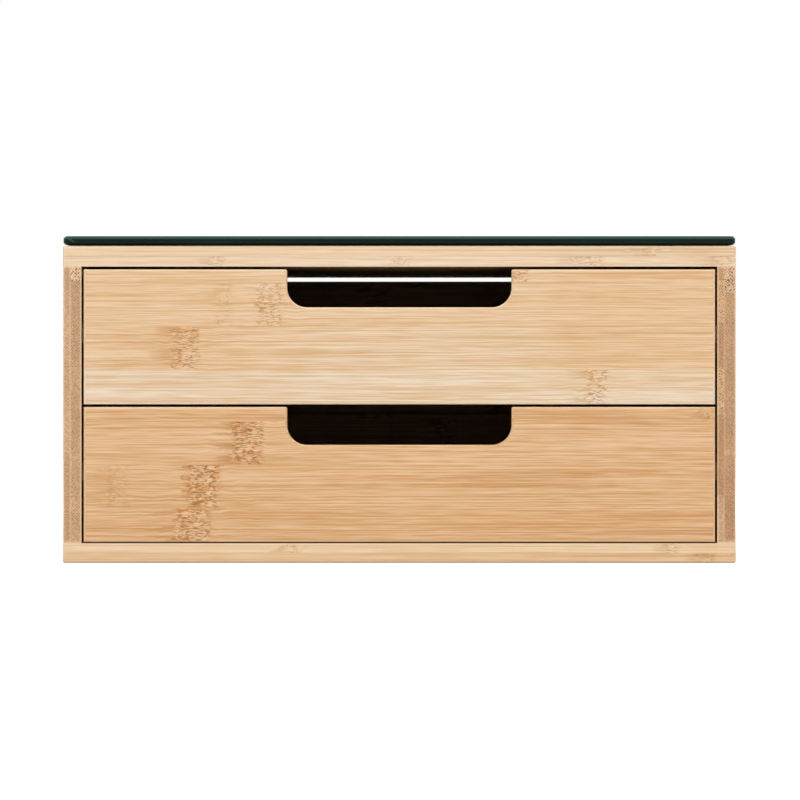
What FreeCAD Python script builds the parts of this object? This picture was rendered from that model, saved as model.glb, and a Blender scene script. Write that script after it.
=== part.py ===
"""A bamboo drawer box for coffee capsules, in millimetres.

Two drawers run one above the other on bamboo runners, in a glued and screwed case. A black-backed glass
plate lies on the top panel and carries a coffee machine. Each drawer holds six lanes of capsules.

The frame: X to the right, Y to the back, Z up. The origin is the middle of the underside, so the drawer
fronts face -Y and the box stands on z = 0.
"""

import FreeCAD
import Part
import math
import os
import Sketcher
from FreeCAD import Vector

PARTS_FOLDER = "parts"

# Counts of what repeats
LANES = 6
SCREWS_PER_EDGE = 3
SCREWS_PER_RUNNER = 3
PADS_PER_EDGE = 2

# Screws, dowels, their holes and the pads are round things drawn with this many flat sides. The middle of a
# side is nearer to the axis than its corners, at this share of the radius.
FLAT_SIDES = 12
FLAT_SHARE = round(math.cos(math.pi / FLAT_SIDES), 9)

# What adds to a body and what cuts into it
PAD = "PartDesign::Pad"
POCKET = "PartDesign::Pocket"

# The driving dimensions: name, millimetres, meaning
SIZES = [
    ("body_width", 310.0, "case, left to right"),
    ("body_depth", 320.0, "case, front to back"),
    ("body_height", 146.0, "case, without the glass"),
    ("base_thickness", 9.0, "base panel"),
    ("top_thickness", 9.5, "top panel"),
    ("side_thickness", 8.5, "side panels"),
    ("edge_ease", 0.8, "radius of the sanded edges that show"),
    ("hidden_ease", 0.5, "chamfer of the sanded edges behind a drawer front and under the glass"),
    ("back_thickness", 5.0, "back panel"),
    ("back_inset", 4.0, "back panel in from the rear edges of the case"),
    ("back_tongue", 3.0, "back panel into the grooves of sides and base"),
    ("back_slit", 2.0, "open slit between back panel and top panel"),
    ("groove_play", 0.2, "spare width of a groove over the board in it"),
    ("glass_thickness", 4.0, "glass plate"),
    ("glass_corner", 5.0, "corner radius of the glass, seen from above"),
    ("glass_arris", 0.9, "polished 45 degree arris along the glass edges"),
    ("pad_thickness", 0.5, "clear adhesive pads under the glass"),
    ("pad_radius", 6.0, "clear adhesive pads"),
    ("pad_inset", 24.0, "pad centres in from the edges of the case"),
    ("gap_top", 1.3, "between upper drawer front and top panel"),
    ("gap_between", 1.2, "between the two drawer fronts"),
    ("gap_base", 0.6, "between lower drawer front and base panel"),
    ("gap_side", 1.0, "between a drawer front and a side panel"),
    ("front_thickness", 9.0, "drawer front"),
    ("grip_width", 103.4, "finger cut-out, left to right"),
    ("grip_depth", 17.5, "finger cut-out, down from the top edge"),
    ("grip_corner", 9.1, "lower corner radius of the cut-out"),
    ("grip_lip", 0.6, "chamfer of the upper corners of the cut-out"),
    ("drawer_side_thickness", 9.0, "drawer sides"),
    ("drawer_gap", 1.5, "between a drawer side and a side panel"),
    ("drawer_rear_gap", 6.0, "between a closed drawer and the back panel"),
    ("drawer_lift", 1.0, "lower edge of drawer sides and back over that of the front"),
    ("drawer_drop", 3.5, "upper edge of drawer sides and back under that of the front"),
    ("drawer_back_thickness", 8.0, "drawer back"),
    ("drawer_back_inset", 8.0, "drawer back in from the rear ends of the drawer sides"),
    ("drawer_back_tongue", 2.5, "drawer back into the grooves of the drawer sides"),
    ("bottom_thickness", 3.0, "drawer bottom board"),
    ("bottom_rise", 5.0, "underside of the bottom board over the lower edge of the front"),
    ("bottom_tongue", 4.0, "bottom board into the grooves on its four sides"),
    ("divider_thickness", 4.0, "lane divider"),
    ("divider_height", 34.0, "lane divider"),
    ("divider_tongue", 2.5, "lane divider into the grooves of front and back"),
    ("divider_ease", 1.0, "radius along the top of a divider"),
    ("runner_height", 8.0, "runner strip"),
    ("runner_thickness", 5.0, "runner strip, out from the side panel"),
    ("runner_rise", 28.4, "underside of a runner over the lower edge of the front"),
    ("runner_front_gap", 0.3, "between a runner and the closed drawer front, which stops on it"),
    ("runner_rear_gap", 5.0, "between a runner and the back panel"),
    ("runner_top_play", 0.15, "between a runner and the groove face that rides on it"),
    ("runner_under_play", 0.45, "between a runner and the groove face below it"),
    ("runner_side_play", 0.7, "between a runner and the bottom of its groove"),
    ("runner_lead", 1.5, "chamfer at the front end of a runner"),
    ("screw_radius", 1.6, "case screw, shank"),
    ("screw_head", 3.0, "case screw, head radius"),
    ("screw_length", 30.0, "case screw"),
    ("screw_end", 36.0, "first and last case screw in from the front and the rear"),
    ("small_screw_radius", 1.2, "runner screw, shank"),
    ("small_screw_head", 2.4, "runner screw, head radius"),
    ("small_screw_length", 11.0, "runner screw"),
    ("small_screw_end", 30.0, "first and last runner screw in from the ends of the runner"),
    ("screw_sink", 0.3, "screw heads under the surface"),
    ("dowel_radius", 2.5, "drawer dowel"),
    ("dowel_length", 18.0, "drawer dowel"),
    ("dowel_chamfer", 0.5, "ends of a drawer dowel"),
    ("dowel_in_front", 5.5, "drawer dowel into the drawer front"),
    ("dowel_low", 18.0, "lower dowel over the lower edge of the front"),
    ("dowel_high", 48.0, "upper dowel over the lower edge of the front"),
    ("hole_play", 0.1, "spare radius of a hole over the screw or dowel in it"),
    ("hole_spare", 1.0, "blind hole beyond the end of what is in it"),
]

doc = FreeCAD.newDocument("capsule_drawer_box")
sheet = doc.addObject("Spreadsheet::Sheet", "Sizes")


class Measure:
    """A length and the sheet formula that gives it, so that a sketch is drawn and bound in one go."""

    def __init__(self, value, formula):
        self.value = value
        self.formula = formula

    def __add__(self, other):
        other = measure(other)
        return Measure(self.value + other.value, f"({self.formula} + {other.formula})")

    def __sub__(self, other):
        other = measure(other)
        return Measure(self.value - other.value, f"({self.formula} - {other.formula})")

    def __mul__(self, number):
        return Measure(self.value * number, f"({self.formula} * {number})")

    def __truediv__(self, number):
        return Measure(self.value / number, f"({self.formula} / {number})")

    def __neg__(self):
        return self * -1


def measure(amount):
    """A Measure of a Measure or of a plain number."""
    return amount if isinstance(amount, Measure) else Measure(float(amount), f"{float(amount)}")


class Sizes:
    """Every row of the sheet as a Measure, by its name."""


def fill_sheet():
    """Writes the driving dimensions to the sheet and returns them as Measures."""
    sizes = Sizes()
    for row, (name, amount, meaning) in enumerate(SIZES, start=1):
        sheet.set(f"A{row}", meaning)
        sheet.set(f"B{row}", str(amount))
        sheet.setAlias(f"B{row}", name)
        setattr(sizes, name, Measure(amount, f"Sizes.{name}"))
    doc.recompute()
    return sizes


def spread(first, last, count):
    """Places at even steps from the first to the last."""
    step = (last - first) / (count - 1)
    return [first + step * i for i in range(count)]


size = fill_sheet()
ZERO = measure(0)

# Places in the case, worked out from the driving dimensions
half_width = size.body_width / 2
half_depth = size.body_depth / 2
bay_half = half_width - size.side_thickness
bay_top = size.body_height - size.top_thickness
side_height = bay_top - size.base_thickness
back_face = half_depth - size.back_inset - size.back_thickness
groove_front = back_face - size.groove_play / 2
groove_rear = back_face + size.back_thickness + size.groove_play / 2
screw_x = half_width - size.side_thickness / 2
screw_y = spread(-half_depth + size.screw_end, half_depth - size.screw_end, SCREWS_PER_EDGE)
runner_front = -half_depth + size.front_thickness + size.runner_front_gap
runner_rear = back_face - size.runner_rear_gap
runner_face = -bay_half + size.runner_thickness
runner_screw_y = spread(
    runner_front + size.small_screw_end, runner_rear - size.small_screw_end, SCREWS_PER_RUNNER
)

# Places in a drawer, whose own origin is the middle of the lower front edge of its front
front_height = (side_height - size.gap_top - size.gap_between - size.gap_base) / 2
front_half = bay_half - size.gap_side
drawer_half = bay_half - size.drawer_gap
store_half = drawer_half - size.drawer_side_thickness
drawer_length = size.body_depth - size.back_inset - size.back_thickness - size.drawer_rear_gap
store_rear = drawer_length - size.drawer_back_inset - size.drawer_back_thickness
drawer_top = front_height - size.drawer_drop
bottom_top = size.bottom_rise + size.bottom_thickness
divider_top = bottom_top + size.divider_height
lane_width = (store_half * 2 - size.divider_thickness * (LANES - 1)) / LANES
first_divider = -store_half + lane_width + size.divider_thickness / 2
divider_pitch = lane_width + size.divider_thickness
dowel_x = drawer_half - size.drawer_side_thickness / 2
dowel_rows = [("Z", size.dowel_high - size.dowel_low, 2)]
lower_drawer_floor = size.base_thickness + size.gap_base
drawer_pitch = front_height + size.gap_between
upper_drawer_floor = lower_drawer_floor + drawer_pitch
runner_screw_z = lower_drawer_floor + size.runner_rise + size.runner_height / 2

# Rows that the screws and their holes repeat in: axis, length, count
case_screw_row = ("Y", screw_y[-1] - screw_y[0], SCREWS_PER_EDGE)
runner_screw_row = ("Y", runner_screw_y[-1] - runner_screw_y[0], SCREWS_PER_RUNNER)
runner_level_row = ("Z", drawer_pitch, 2)

# The sign of each origin plane's normal along the axis that it lies across
PLANES = {"XY": 1, "XZ": -1, "YZ": 1}

# The origin plane that an axis is square to, and which coordinates of a point lie in it
SQUARE_TO = {"X": ("YZ", 1, 2), "Y": ("XZ", 0, 2), "Z": ("XY", 0, 1)}

sub_parts = []


def bind(thing, slot, amount):
    """Ties a property or a constraint of thing to the sheet."""
    thing.setExpression(slot, measure(amount).formula)


def add_body(label, y=ZERO, z=ZERO):
    """An empty body at that place in the box."""
    body = doc.addObject("PartDesign::Body", label)
    body.Label = label
    bind(body, "Placement.Base.y", y)
    bind(body, "Placement.Base.z", z)
    sub_parts.append(body)
    return body


def add_right_twin(label, left):
    """The right-hand twin of a left-hand sub-part, mirrored across the middle of the box."""
    twin = doc.addObject("Part::Mirroring", label)
    twin.Label = label
    twin.Source = left
    twin.Base = Vector(0, 0, 0)
    twin.Normal = Vector(1, 0, 0)
    sub_parts.append(twin)


def origin_feature(body, role):
    """A plane or axis of the body's own origin."""
    return next(f for f in body.Origin.OriginFeatures if f.Role == role)


def has_failed(thing):
    """True if an object of the document could not be built."""
    return any(word in thing.State for word in ("Invalid", "Error"))


def settle(body, feature):
    """Makes feature the end of the body's history. Stops if it wasn't built, or built and changed nothing."""
    body.Tip = feature
    doc.recompute()
    if has_failed(feature):
        raise RuntimeError(f"{feature.Name} could not be built: {feature.State}")
    base = feature.BaseFeature
    if base and abs(base.Shape.Volume - feature.Shape.Volume) < 1e-3:
        raise RuntimeError(f"{feature.Name} changes nothing")
    return feature


def add_sketch(body, name, plane, at=ZERO, centre=(ZERO, ZERO)):
    """An empty sketch on an origin plane of the body, moved along that plane's axis to at, and to centre."""
    sketch = body.newObject("Sketcher::SketchObject", f"{body.Name}_{name}_sketch")
    sketch.AttachmentSupport = [(origin_feature(body, f"{plane}_Plane"), "")]
    sketch.MapMode = "FlatFace"
    bind(sketch, "AttachmentOffset.Base.x", centre[0])
    bind(sketch, "AttachmentOffset.Base.y", centre[1])
    bind(sketch, "AttachmentOffset.Base.z", measure(at) * PLANES[plane])
    return sketch


def constrain(sketch, kind, *where, amount):
    """Adds a dimension to the sketch and ties it to the sheet."""
    index = sketch.addConstraint(Sketcher.Constraint(kind, *where, measure(amount).value))
    bind(sketch, f"Constraints[{index}]", amount)


def draw_outline(sketch, corners):
    """A closed outline of straight lines through corners, each a pair of Measures from the origin."""
    points = [Vector(measure(u).value, measure(v).value, 0) for u, v in corners]
    ends = points[1:] + points[:1]
    lines = [sketch.addGeometry(Part.LineSegment(a, b), False) for a, b in zip(points, ends)]
    for line, following in zip(lines, lines[1:] + lines[:1]):
        sketch.addConstraint(Sketcher.Constraint("Coincident", line, 2, following, 1))
    for line, (u, v) in zip(lines, corners):
        constrain(sketch, "DistanceX", -1, 1, line, 1, amount=u)
        constrain(sketch, "DistanceY", -1, 1, line, 1, amount=v)


def draw_rectangle(sketch, low, high):
    """A rectangle from its lower left to its upper right corner."""
    (left, floor), (right, ceiling) = low, high
    draw_outline(sketch, [(left, floor), (right, floor), (right, ceiling), (left, ceiling)])


def draw_ring(sketch, radius, centre=(ZERO, ZERO)):
    """A regular outline of flat sides, whose corners lie on a circle about centre."""
    turns = [2 * math.pi * (side + 0.5) / FLAT_SIDES for side in range(FLAT_SIDES)]
    shares = [(round(math.cos(turn), 9), round(math.sin(turn), 9)) for turn in turns]
    draw_outline(sketch, [(centre[0] + radius * across, centre[1] + radius * up) for across, up in shares])


def add_pad(body, name, sketch, length):
    """Extrudes a sketch along its plane's normal."""
    pad = body.newObject(PAD, f"{body.Name}_{name}")
    pad.Profile = sketch
    bind(pad, "Length", length)
    return settle(body, pad)


def add_board(body, low, high):
    """A board between two corners of the body's own frame."""
    sketch = add_sketch(body, "board", "XY", low[2])
    draw_rectangle(sketch, low[:2], high[:2])
    return add_pad(body, "board", sketch, measure(high[2]) - low[2])


def add_pocket(body, name, sketch, depth, along_normal=False):
    """Cuts a sketch into the body, against its plane's normal or along it."""
    pocket = body.newObject(POCKET, f"{body.Name}_{name}")
    pocket.Profile = sketch
    pocket.Reversed = along_normal
    bind(pocket, "Length", depth)
    return settle(body, pocket)


def add_turned(body, name, kind, axis, start, rings):
    """A round piece or hole with flat sides about an axis through start, straight from ring to ring.

    Each ring is a place along the axis and a radius. The features, one per step, come back in a list.
    """
    plane, across, up = SQUARE_TO[axis]
    steps = []
    for (place, radius), (end, end_radius) in zip(rings, rings[1:]):
        label = f"{name}_{len(steps) + 1}"
        sketch = add_sketch(body, label, plane, place, (start[across], start[up]))
        draw_ring(sketch, radius)
        step = body.newObject(kind, f"{body.Name}_{label}")
        step.Profile = sketch
        forward = end.value > place.value
        length = end - place if forward else place - end
        bind(step, "Length", length)
        along_normal = forward == (PLANES[plane] > 0)
        step.Reversed = along_normal == (kind == POCKET)
        if radius.value != end_radius.value:
            widening = (end_radius - radius) * FLAT_SHARE
            step.setExpression("TaperAngle", f"atan({widening.formula} / {length.formula})")
        steps.append(settle(body, step))
    return steps


def add_dressing(body, kind, name, slot, amount, test):
    """Rounds or chamfers the edges of the body that pass the test."""
    base = body.Tip
    edges = [f"Edge{i}" for i, edge in enumerate(base.Shape.Edges, start=1) if test(edge)]
    if not edges:
        raise RuntimeError(f"{body.Name} has no edge for {name}")
    dressing = body.newObject(kind, f"{body.Name}_{name}")
    dressing.Base = (base, edges)
    bind(dressing, slot, amount)
    return settle(body, dressing)


def add_fillet(body, name, radius, test):
    """Rounds the edges of the body that pass the test."""
    return add_dressing(body, "PartDesign::Fillet", name, "Radius", radius, test)


def add_chamfer(body, name, width, test):
    """Chamfers the edges of the body that pass the test."""
    return add_dressing(body, "PartDesign::Chamfer", name, "Size", width, test)


def add_row(body, originals, axis, length, count):
    """Repeats features along an axis of the body, so that count of them spread over length."""
    row = body.newObject("PartDesign::LinearPattern", f"{originals[0].Name}_row")
    row.Originals = originals
    row.Direction = (origin_feature(body, f"{axis}_Axis"), [""])
    row.Occurrences = count
    bind(row, "Length", length)
    return settle(body, row)


def add_grid(body, originals, rows, both_sides=True):
    """Repeats features along rows, each an (axis, length, count), and on the other side of the middle.

    With no originals the whole body is repeated.
    """
    grid = body.newObject("PartDesign::MultiTransform", f"{body.Name}_grid")
    grid.Originals = originals
    grid.TransformMode = "Features" if originals else "Whole shape"
    steps = []
    for axis, length, count in rows:
        step = body.newObject("PartDesign::LinearPattern", f"{body.Name}_along_{axis}")
        step.Direction = (origin_feature(body, f"{axis}_Axis"), [""])
        step.Occurrences = count
        bind(step, "Length", length)
        steps.append(step)
    if both_sides:
        step = body.newObject("PartDesign::Mirrored", f"{body.Name}_across")
        step.MirrorPlane = (origin_feature(body, "YZ_Plane"), [""])
        steps.append(step)
    grid.Transformations = steps
    return settle(body, grid)


def lies_on(edge, axis, amount):
    """True if the whole edge lies in the plane across an axis at amount, in the body's own frame."""
    place = measure(amount).value
    ends = (getattr(edge.BoundBox, f"{axis}Min"), getattr(edge.BoundBox, f"{axis}Max"))
    return all(abs(end - place) < 1e-4 for end in ends)


def runs_along(edge, axis):
    """True if the edge is a straight line along an axis."""
    lengths = {name: getattr(edge.BoundBox, f"{name}Length") for name in "XYZ"}
    return all((length > 1e-4) == (name == axis) for name, length in lengths.items())


class Screw:
    """A countersunk screw, sunk a little under a face of the first board, and the rings of its two holes."""

    def __init__(self, radius, head, length):
        self.radius = radius
        self.head = head
        self.length = length
        self.hole_radius = radius + size.hole_play

    def rings(self, face, way):
        """Head, neck, end of shank and point, along an axis or, with a way of -1, against it."""
        head_face = face + size.screw_sink * way
        return [
            (head_face, self.head),
            (head_face + (self.head - self.radius) * way, self.radius),
            (head_face + (self.length - self.radius * 2) * way, self.radius),
            (head_face + self.length * way, self.radius / 4),
        ]

    def through_hole(self, face, way, board):
        """The countersunk hole through the first board."""
        rim = self.head + size.screw_sink + size.hole_play
        neck = face + (rim - self.hole_radius) * way
        return [(face, rim), (neck, self.hole_radius), (face + board * way, self.hole_radius)]

    def pilot_hole(self, face, way, board):
        """The blind hole in the second board, which meets the first at face."""
        depth = self.length + size.screw_sink + size.hole_spare - board
        return [(face, self.hole_radius), (face + depth * way, self.hole_radius)]


case_screw = Screw(size.screw_radius, size.screw_head, size.screw_length)
runner_screw = Screw(size.small_screw_radius, size.small_screw_head, size.small_screw_length)


def is_outer_edge(edge):
    """True for an edge on one of the four outer sides of the base panel."""
    on_side = lies_on(edge, "X", -half_width) or lies_on(edge, "X", half_width)
    on_end = lies_on(edge, "Y", -half_depth) or lies_on(edge, "Y", half_depth)
    return on_side or on_end


def make_base_panel():
    """The board that the box stands on, with a groove for the back panel and screws up into the sides."""
    body = add_body("base_panel")
    joint = size.base_thickness
    add_board(body, (-half_width, -half_depth, ZERO), (half_width, half_depth, joint))
    groove = add_sketch(body, "back_groove", "XY", joint)
    reach = bay_half + size.back_tongue
    draw_rectangle(groove, (-reach, groove_front), (reach, groove_rear))
    add_pocket(body, "back_groove", groove, size.back_tongue)
    add_fillet(body, "eased_edges", size.edge_ease, lambda e: is_outer_edge(e) and not lies_on(e, "Z", joint))
    rings = case_screw.through_hole(ZERO, 1, joint)
    hole = add_turned(body, "screw_hole", POCKET, "Z", (-screw_x, screw_y[0], ZERO), rings)
    add_grid(body, hole, [case_screw_row])


def make_top_panel():
    """The board that the glass lies on. Its screws are driven from above, under the black glass."""
    body = add_body("top_panel", z=bay_top)
    face = size.top_thickness
    add_board(body, (-half_width, -half_depth, ZERO), (half_width, half_depth, face))
    add_fillet(body, "eased_corners", size.edge_ease, lambda e: runs_along(e, "Z"))
    add_chamfer(body, "eased_top", size.hidden_ease, lambda e: lies_on(e, "Z", face))
    rings = case_screw.through_hole(face, -1, face)
    hole = add_turned(body, "screw_hole", POCKET, "Z", (-screw_x, screw_y[0], ZERO), rings)
    add_grid(body, hole, [case_screw_row])


def make_side_panels():
    """The side panels: a groove for the back panel, and pilot holes for case screws and runner screws."""
    body = add_body("left_side_panel", z=size.base_thickness)
    add_board(body, (-half_width, -half_depth, ZERO), (-bay_half, half_depth, side_height))
    groove = add_sketch(body, "back_groove", "YZ", -bay_half)
    draw_rectangle(groove, (groove_front, ZERO), (groove_rear, side_height))
    add_pocket(body, "back_groove", groove, size.back_tongue)
    add_fillet(
        body, "eased_corners", size.edge_ease, lambda e: runs_along(e, "Z") and lies_on(e, "X", -half_width)
    )
    place = (-screw_x, screw_y[0], ZERO)
    rings = case_screw.pilot_hole(ZERO, 1, size.base_thickness)
    lower = add_turned(body, "lower_pilot", POCKET, "Z", place, rings)
    add_row(body, lower, *case_screw_row)
    rings = case_screw.pilot_hole(side_height, -1, size.top_thickness)
    upper = add_turned(body, "upper_pilot", POCKET, "Z", place, rings)
    add_row(body, upper, *case_screw_row)
    place = (ZERO, runner_screw_y[0], runner_screw_z - size.base_thickness)
    rings = runner_screw.pilot_hole(-bay_half, -1, size.runner_thickness)
    pilot = add_turned(body, "runner_pilot", POCKET, "X", place, rings)
    add_grid(body, pilot, [runner_screw_row, runner_level_row], both_sides=False)
    add_right_twin("right_side_panel", body)


def make_back_panel():
    """A thin board in grooves of sides and base. It ends below the top panel and leaves a slit of light."""
    body = add_body("back_panel", z=size.base_thickness - size.back_tongue)
    reach = bay_half + size.back_tongue - size.groove_play
    height = side_height + size.back_tongue - size.back_slit
    add_board(body, (-reach, back_face, ZERO), (reach, back_face + size.back_thickness, height))


def make_glass_top():
    """The glass plate, with round corners and a flat polished edge between two arrises."""
    body = add_body("glass_top", z=size.body_height + size.pad_thickness)
    upper = size.glass_thickness
    add_board(body, (-half_width, -half_depth, ZERO), (half_width, half_depth, upper))
    add_fillet(body, "corners", size.glass_corner, lambda e: runs_along(e, "Z"))
    add_chamfer(body, "arris", size.glass_arris, lambda e: lies_on(e, "Z", ZERO) or lies_on(e, "Z", upper))


def make_glass_pads():
    """Clear adhesive pads between the top panel and the glass, near its corners."""
    body = add_body("glass_pads", z=size.body_height)
    sketch = add_sketch(body, "pads", "XY")
    pad_x = half_width - size.pad_inset
    for y in spread(-half_depth + size.pad_inset, half_depth - size.pad_inset, PADS_PER_EDGE):
        draw_ring(sketch, size.pad_radius, (-pad_x, y))
        draw_ring(sketch, size.pad_radius, (pad_x, y))
    add_pad(body, "pads", sketch, size.pad_thickness)


def make_runners(level, drawer_floor):
    """The strips on the side panels that carry a drawer in the grooves of its sides."""
    body = add_body(f"{level}_left_runner", z=drawer_floor + size.runner_rise)
    add_board(body, (-bay_half, runner_front, ZERO), (runner_face, runner_rear, size.runner_height))
    add_chamfer(
        body,
        "lead_in",
        size.runner_lead,
        lambda e: lies_on(e, "Y", runner_front) and lies_on(e, "X", runner_face),
    )
    rings = runner_screw.through_hole(runner_face, -1, size.runner_thickness)
    place = (ZERO, runner_screw_y[0], size.runner_height / 2)
    hole = add_turned(body, "screw_hole", POCKET, "X", place, rings)
    add_row(body, hole, *runner_screw_row)
    add_right_twin(f"{level}_right_runner", body)


def make_screws():
    """The screws through base and top into the sides, and the small ones through the runners."""
    base = add_body("base_screws")
    place = (-screw_x, screw_y[0], ZERO)
    add_turned(base, "screw", PAD, "Z", place, case_screw.rings(ZERO, 1))
    add_grid(base, [], [case_screw_row])
    top = add_body("top_screws", z=size.body_height)
    add_turned(top, "screw", PAD, "Z", place, case_screw.rings(ZERO, -1))
    add_grid(top, [], [case_screw_row])
    runners = add_body("runner_screws")
    place = (ZERO, runner_screw_y[0], runner_screw_z)
    add_turned(runners, "screw", PAD, "X", place, runner_screw.rings(runner_face, -1))
    add_grid(runners, [], [runner_screw_row, runner_level_row])


def add_divider_grooves(body, at, along_normal):
    """Upright grooves that take the ends of the dividers."""
    half = (size.divider_thickness + size.groove_play) / 2
    sketch = add_sketch(body, "divider_groove", "XZ", at)
    draw_rectangle(sketch, (first_divider - half, bottom_top), (first_divider + half, divider_top))
    groove = add_pocket(body, "divider_groove", sketch, size.divider_tongue, along_normal)
    add_row(body, [groove], "X", divider_pitch * (LANES - 2), LANES - 1)


def cut_grip(body):
    """The finger cut-out in the top edge of a drawer front, with round lower and chamfered upper corners."""
    half = size.grip_width / 2
    floor = front_height - size.grip_depth
    sketch = add_sketch(body, "grip", "XZ")
    draw_rectangle(sketch, (-half, floor), (half, front_height))
    add_pocket(body, "grip", sketch, size.front_thickness)

    def is_corner(edge, height):
        on_end = lies_on(edge, "X", -half) or lies_on(edge, "X", half)
        return runs_along(edge, "Y") and on_end and lies_on(edge, "Z", height)

    add_fillet(body, "grip_corners", size.grip_corner, lambda e: is_corner(e, floor))
    add_chamfer(body, "grip_lips", size.grip_lip, lambda e: is_corner(e, front_height))


def make_drawer_front(drawer, floor):
    """A drawer front: finger cut-out, grooves for bottom board and dividers, and dowel holes."""
    body = add_body(f"{drawer}_front", -half_depth, floor)
    rear = size.front_thickness
    add_board(body, (-front_half, ZERO, ZERO), (front_half, rear, front_height))
    cut_grip(body)
    add_fillet(body, "eased_front", size.edge_ease, lambda e: lies_on(e, "Y", ZERO))
    add_chamfer(body, "eased_rear", size.hidden_ease, lambda e: lies_on(e, "Y", rear))
    groove = add_sketch(body, "bottom_groove", "XZ", rear)
    reach = store_half + size.bottom_tongue
    draw_rectangle(groove, (-reach, size.bottom_rise), (reach, bottom_top + size.groove_play))
    add_pocket(body, "bottom_groove", groove, size.bottom_tongue, along_normal=True)
    add_divider_grooves(body, rear, along_normal=True)
    radius = size.dowel_radius + size.hole_play
    rings = [(rear, radius), (rear - size.dowel_in_front - size.hole_play, radius)]
    hole = add_turned(body, "dowel_hole", POCKET, "Y", (-dowel_x, ZERO, size.dowel_low), rings)
    add_grid(body, hole, dowel_rows)


def make_drawer_sides(drawer, floor):
    """The drawer sides: a runner groove outside, grooves for bottom board and back inside, dowel holes."""
    body = add_body(f"{drawer}_left_side", -half_depth, floor)
    front = size.front_thickness
    add_board(body, (-drawer_half, front, size.drawer_lift), (-store_half, drawer_length, drawer_top))
    add_fillet(
        body, "eased_top", size.edge_ease, lambda e: runs_along(e, "Y") and lies_on(e, "Z", drawer_top)
    )
    outside = add_sketch(body, "runner_groove", "YZ", -drawer_half)
    under = size.runner_rise - size.runner_under_play
    over = size.runner_rise + size.runner_height + size.runner_top_play
    draw_rectangle(outside, (front, under), (drawer_length, over))
    depth = size.runner_thickness - size.drawer_gap + size.runner_side_play
    add_pocket(body, "runner_groove", outside, depth, along_normal=True)
    inside = add_sketch(body, "bottom_groove", "YZ", -store_half)
    draw_rectangle(inside, (front, size.bottom_rise), (drawer_length, bottom_top + size.groove_play))
    add_pocket(body, "bottom_groove", inside, size.bottom_tongue)
    upright = add_sketch(body, "back_groove", "YZ", -store_half)
    near_face = store_rear - size.groove_play / 2
    far_face = store_rear + size.drawer_back_thickness + size.groove_play / 2
    draw_rectangle(upright, (near_face, size.drawer_lift), (far_face, drawer_top))
    add_pocket(body, "back_groove", upright, size.drawer_back_tongue)
    radius = size.dowel_radius + size.hole_play
    depth = size.dowel_length - size.dowel_in_front + size.hole_spare
    rings = [(front, radius), (front + depth, radius)]
    hole = add_turned(body, "dowel_hole", POCKET, "Y", (-dowel_x, ZERO, size.dowel_low), rings)
    add_row(body, hole, *dowel_rows[0])
    add_right_twin(f"{drawer}_right_side", body)


def make_drawer_back(drawer, floor):
    """A drawer back in grooves of the sides, with grooves for the bottom board and the dividers."""
    body = add_body(f"{drawer}_back", -half_depth, floor)
    reach = store_half + size.drawer_back_tongue - size.groove_play
    rear = store_rear + size.drawer_back_thickness
    add_board(body, (-reach, store_rear, size.drawer_lift), (reach, rear, drawer_top))
    add_fillet(
        body, "eased_top", size.edge_ease, lambda e: runs_along(e, "X") and lies_on(e, "Z", drawer_top)
    )
    groove = add_sketch(body, "bottom_groove", "XZ", store_rear)
    draw_rectangle(groove, (-reach, size.bottom_rise), (reach, bottom_top + size.groove_play))
    add_pocket(body, "bottom_groove", groove, size.bottom_tongue)
    add_divider_grooves(body, store_rear, along_normal=False)


def make_drawer_bottom(drawer, floor):
    """A thin board in grooves of front, sides and back."""
    body = add_body(f"{drawer}_bottom", -half_depth, floor)
    tongue = size.bottom_tongue - size.groove_play
    reach = store_half + tongue
    front = size.front_thickness - tongue
    add_board(body, (-reach, front, size.bottom_rise), (reach, store_rear + tongue, bottom_top))


def make_divider(drawer, floor, number):
    """A lane divider on the bottom board, between the grooves of front and back."""
    body = add_body(f"{drawer}_divider_{number}", -half_depth, floor)
    middle = first_divider + divider_pitch * (number - 1)
    half = size.divider_thickness / 2
    tongue = size.divider_tongue - size.groove_play
    low = (middle - half, size.front_thickness - tongue, bottom_top)
    add_board(body, low, (middle + half, store_rear + tongue, divider_top))
    add_fillet(
        body, "eased_top", size.divider_ease, lambda e: runs_along(e, "Y") and lies_on(e, "Z", divider_top)
    )


def make_dowels(drawer, floor):
    """The dowels that hold a drawer front to the sides."""
    body = add_body(f"{drawer}_dowels", -half_depth, floor)
    front = size.front_thickness - size.dowel_in_front
    rear = front + size.dowel_length
    end = size.dowel_radius - size.dowel_chamfer
    rings = [
        (front, end),
        (front + size.dowel_chamfer, size.dowel_radius),
        (rear - size.dowel_chamfer, size.dowel_radius),
        (rear, end),
    ]
    add_turned(body, "dowel", PAD, "Y", (-dowel_x, ZERO, size.dowel_low), rings)
    add_grid(body, [], dowel_rows)


def make_case():
    """All the pieces that stand still."""
    make_base_panel()
    make_top_panel()
    make_side_panels()
    make_back_panel()
    make_glass_top()
    make_glass_pads()
    make_runners("lower", lower_drawer_floor)
    make_runners("upper", upper_drawer_floor)
    make_screws()


def make_drawer(drawer, floor):
    """All the pieces of one drawer, whose front's lower edge is at floor."""
    make_drawer_front(drawer, floor)
    make_drawer_sides(drawer, floor)
    make_drawer_back(drawer, floor)
    make_drawer_bottom(drawer, floor)
    for number in range(1, LANES):
        make_divider(drawer, floor, number)
    make_dowels(drawer, floor)


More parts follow.
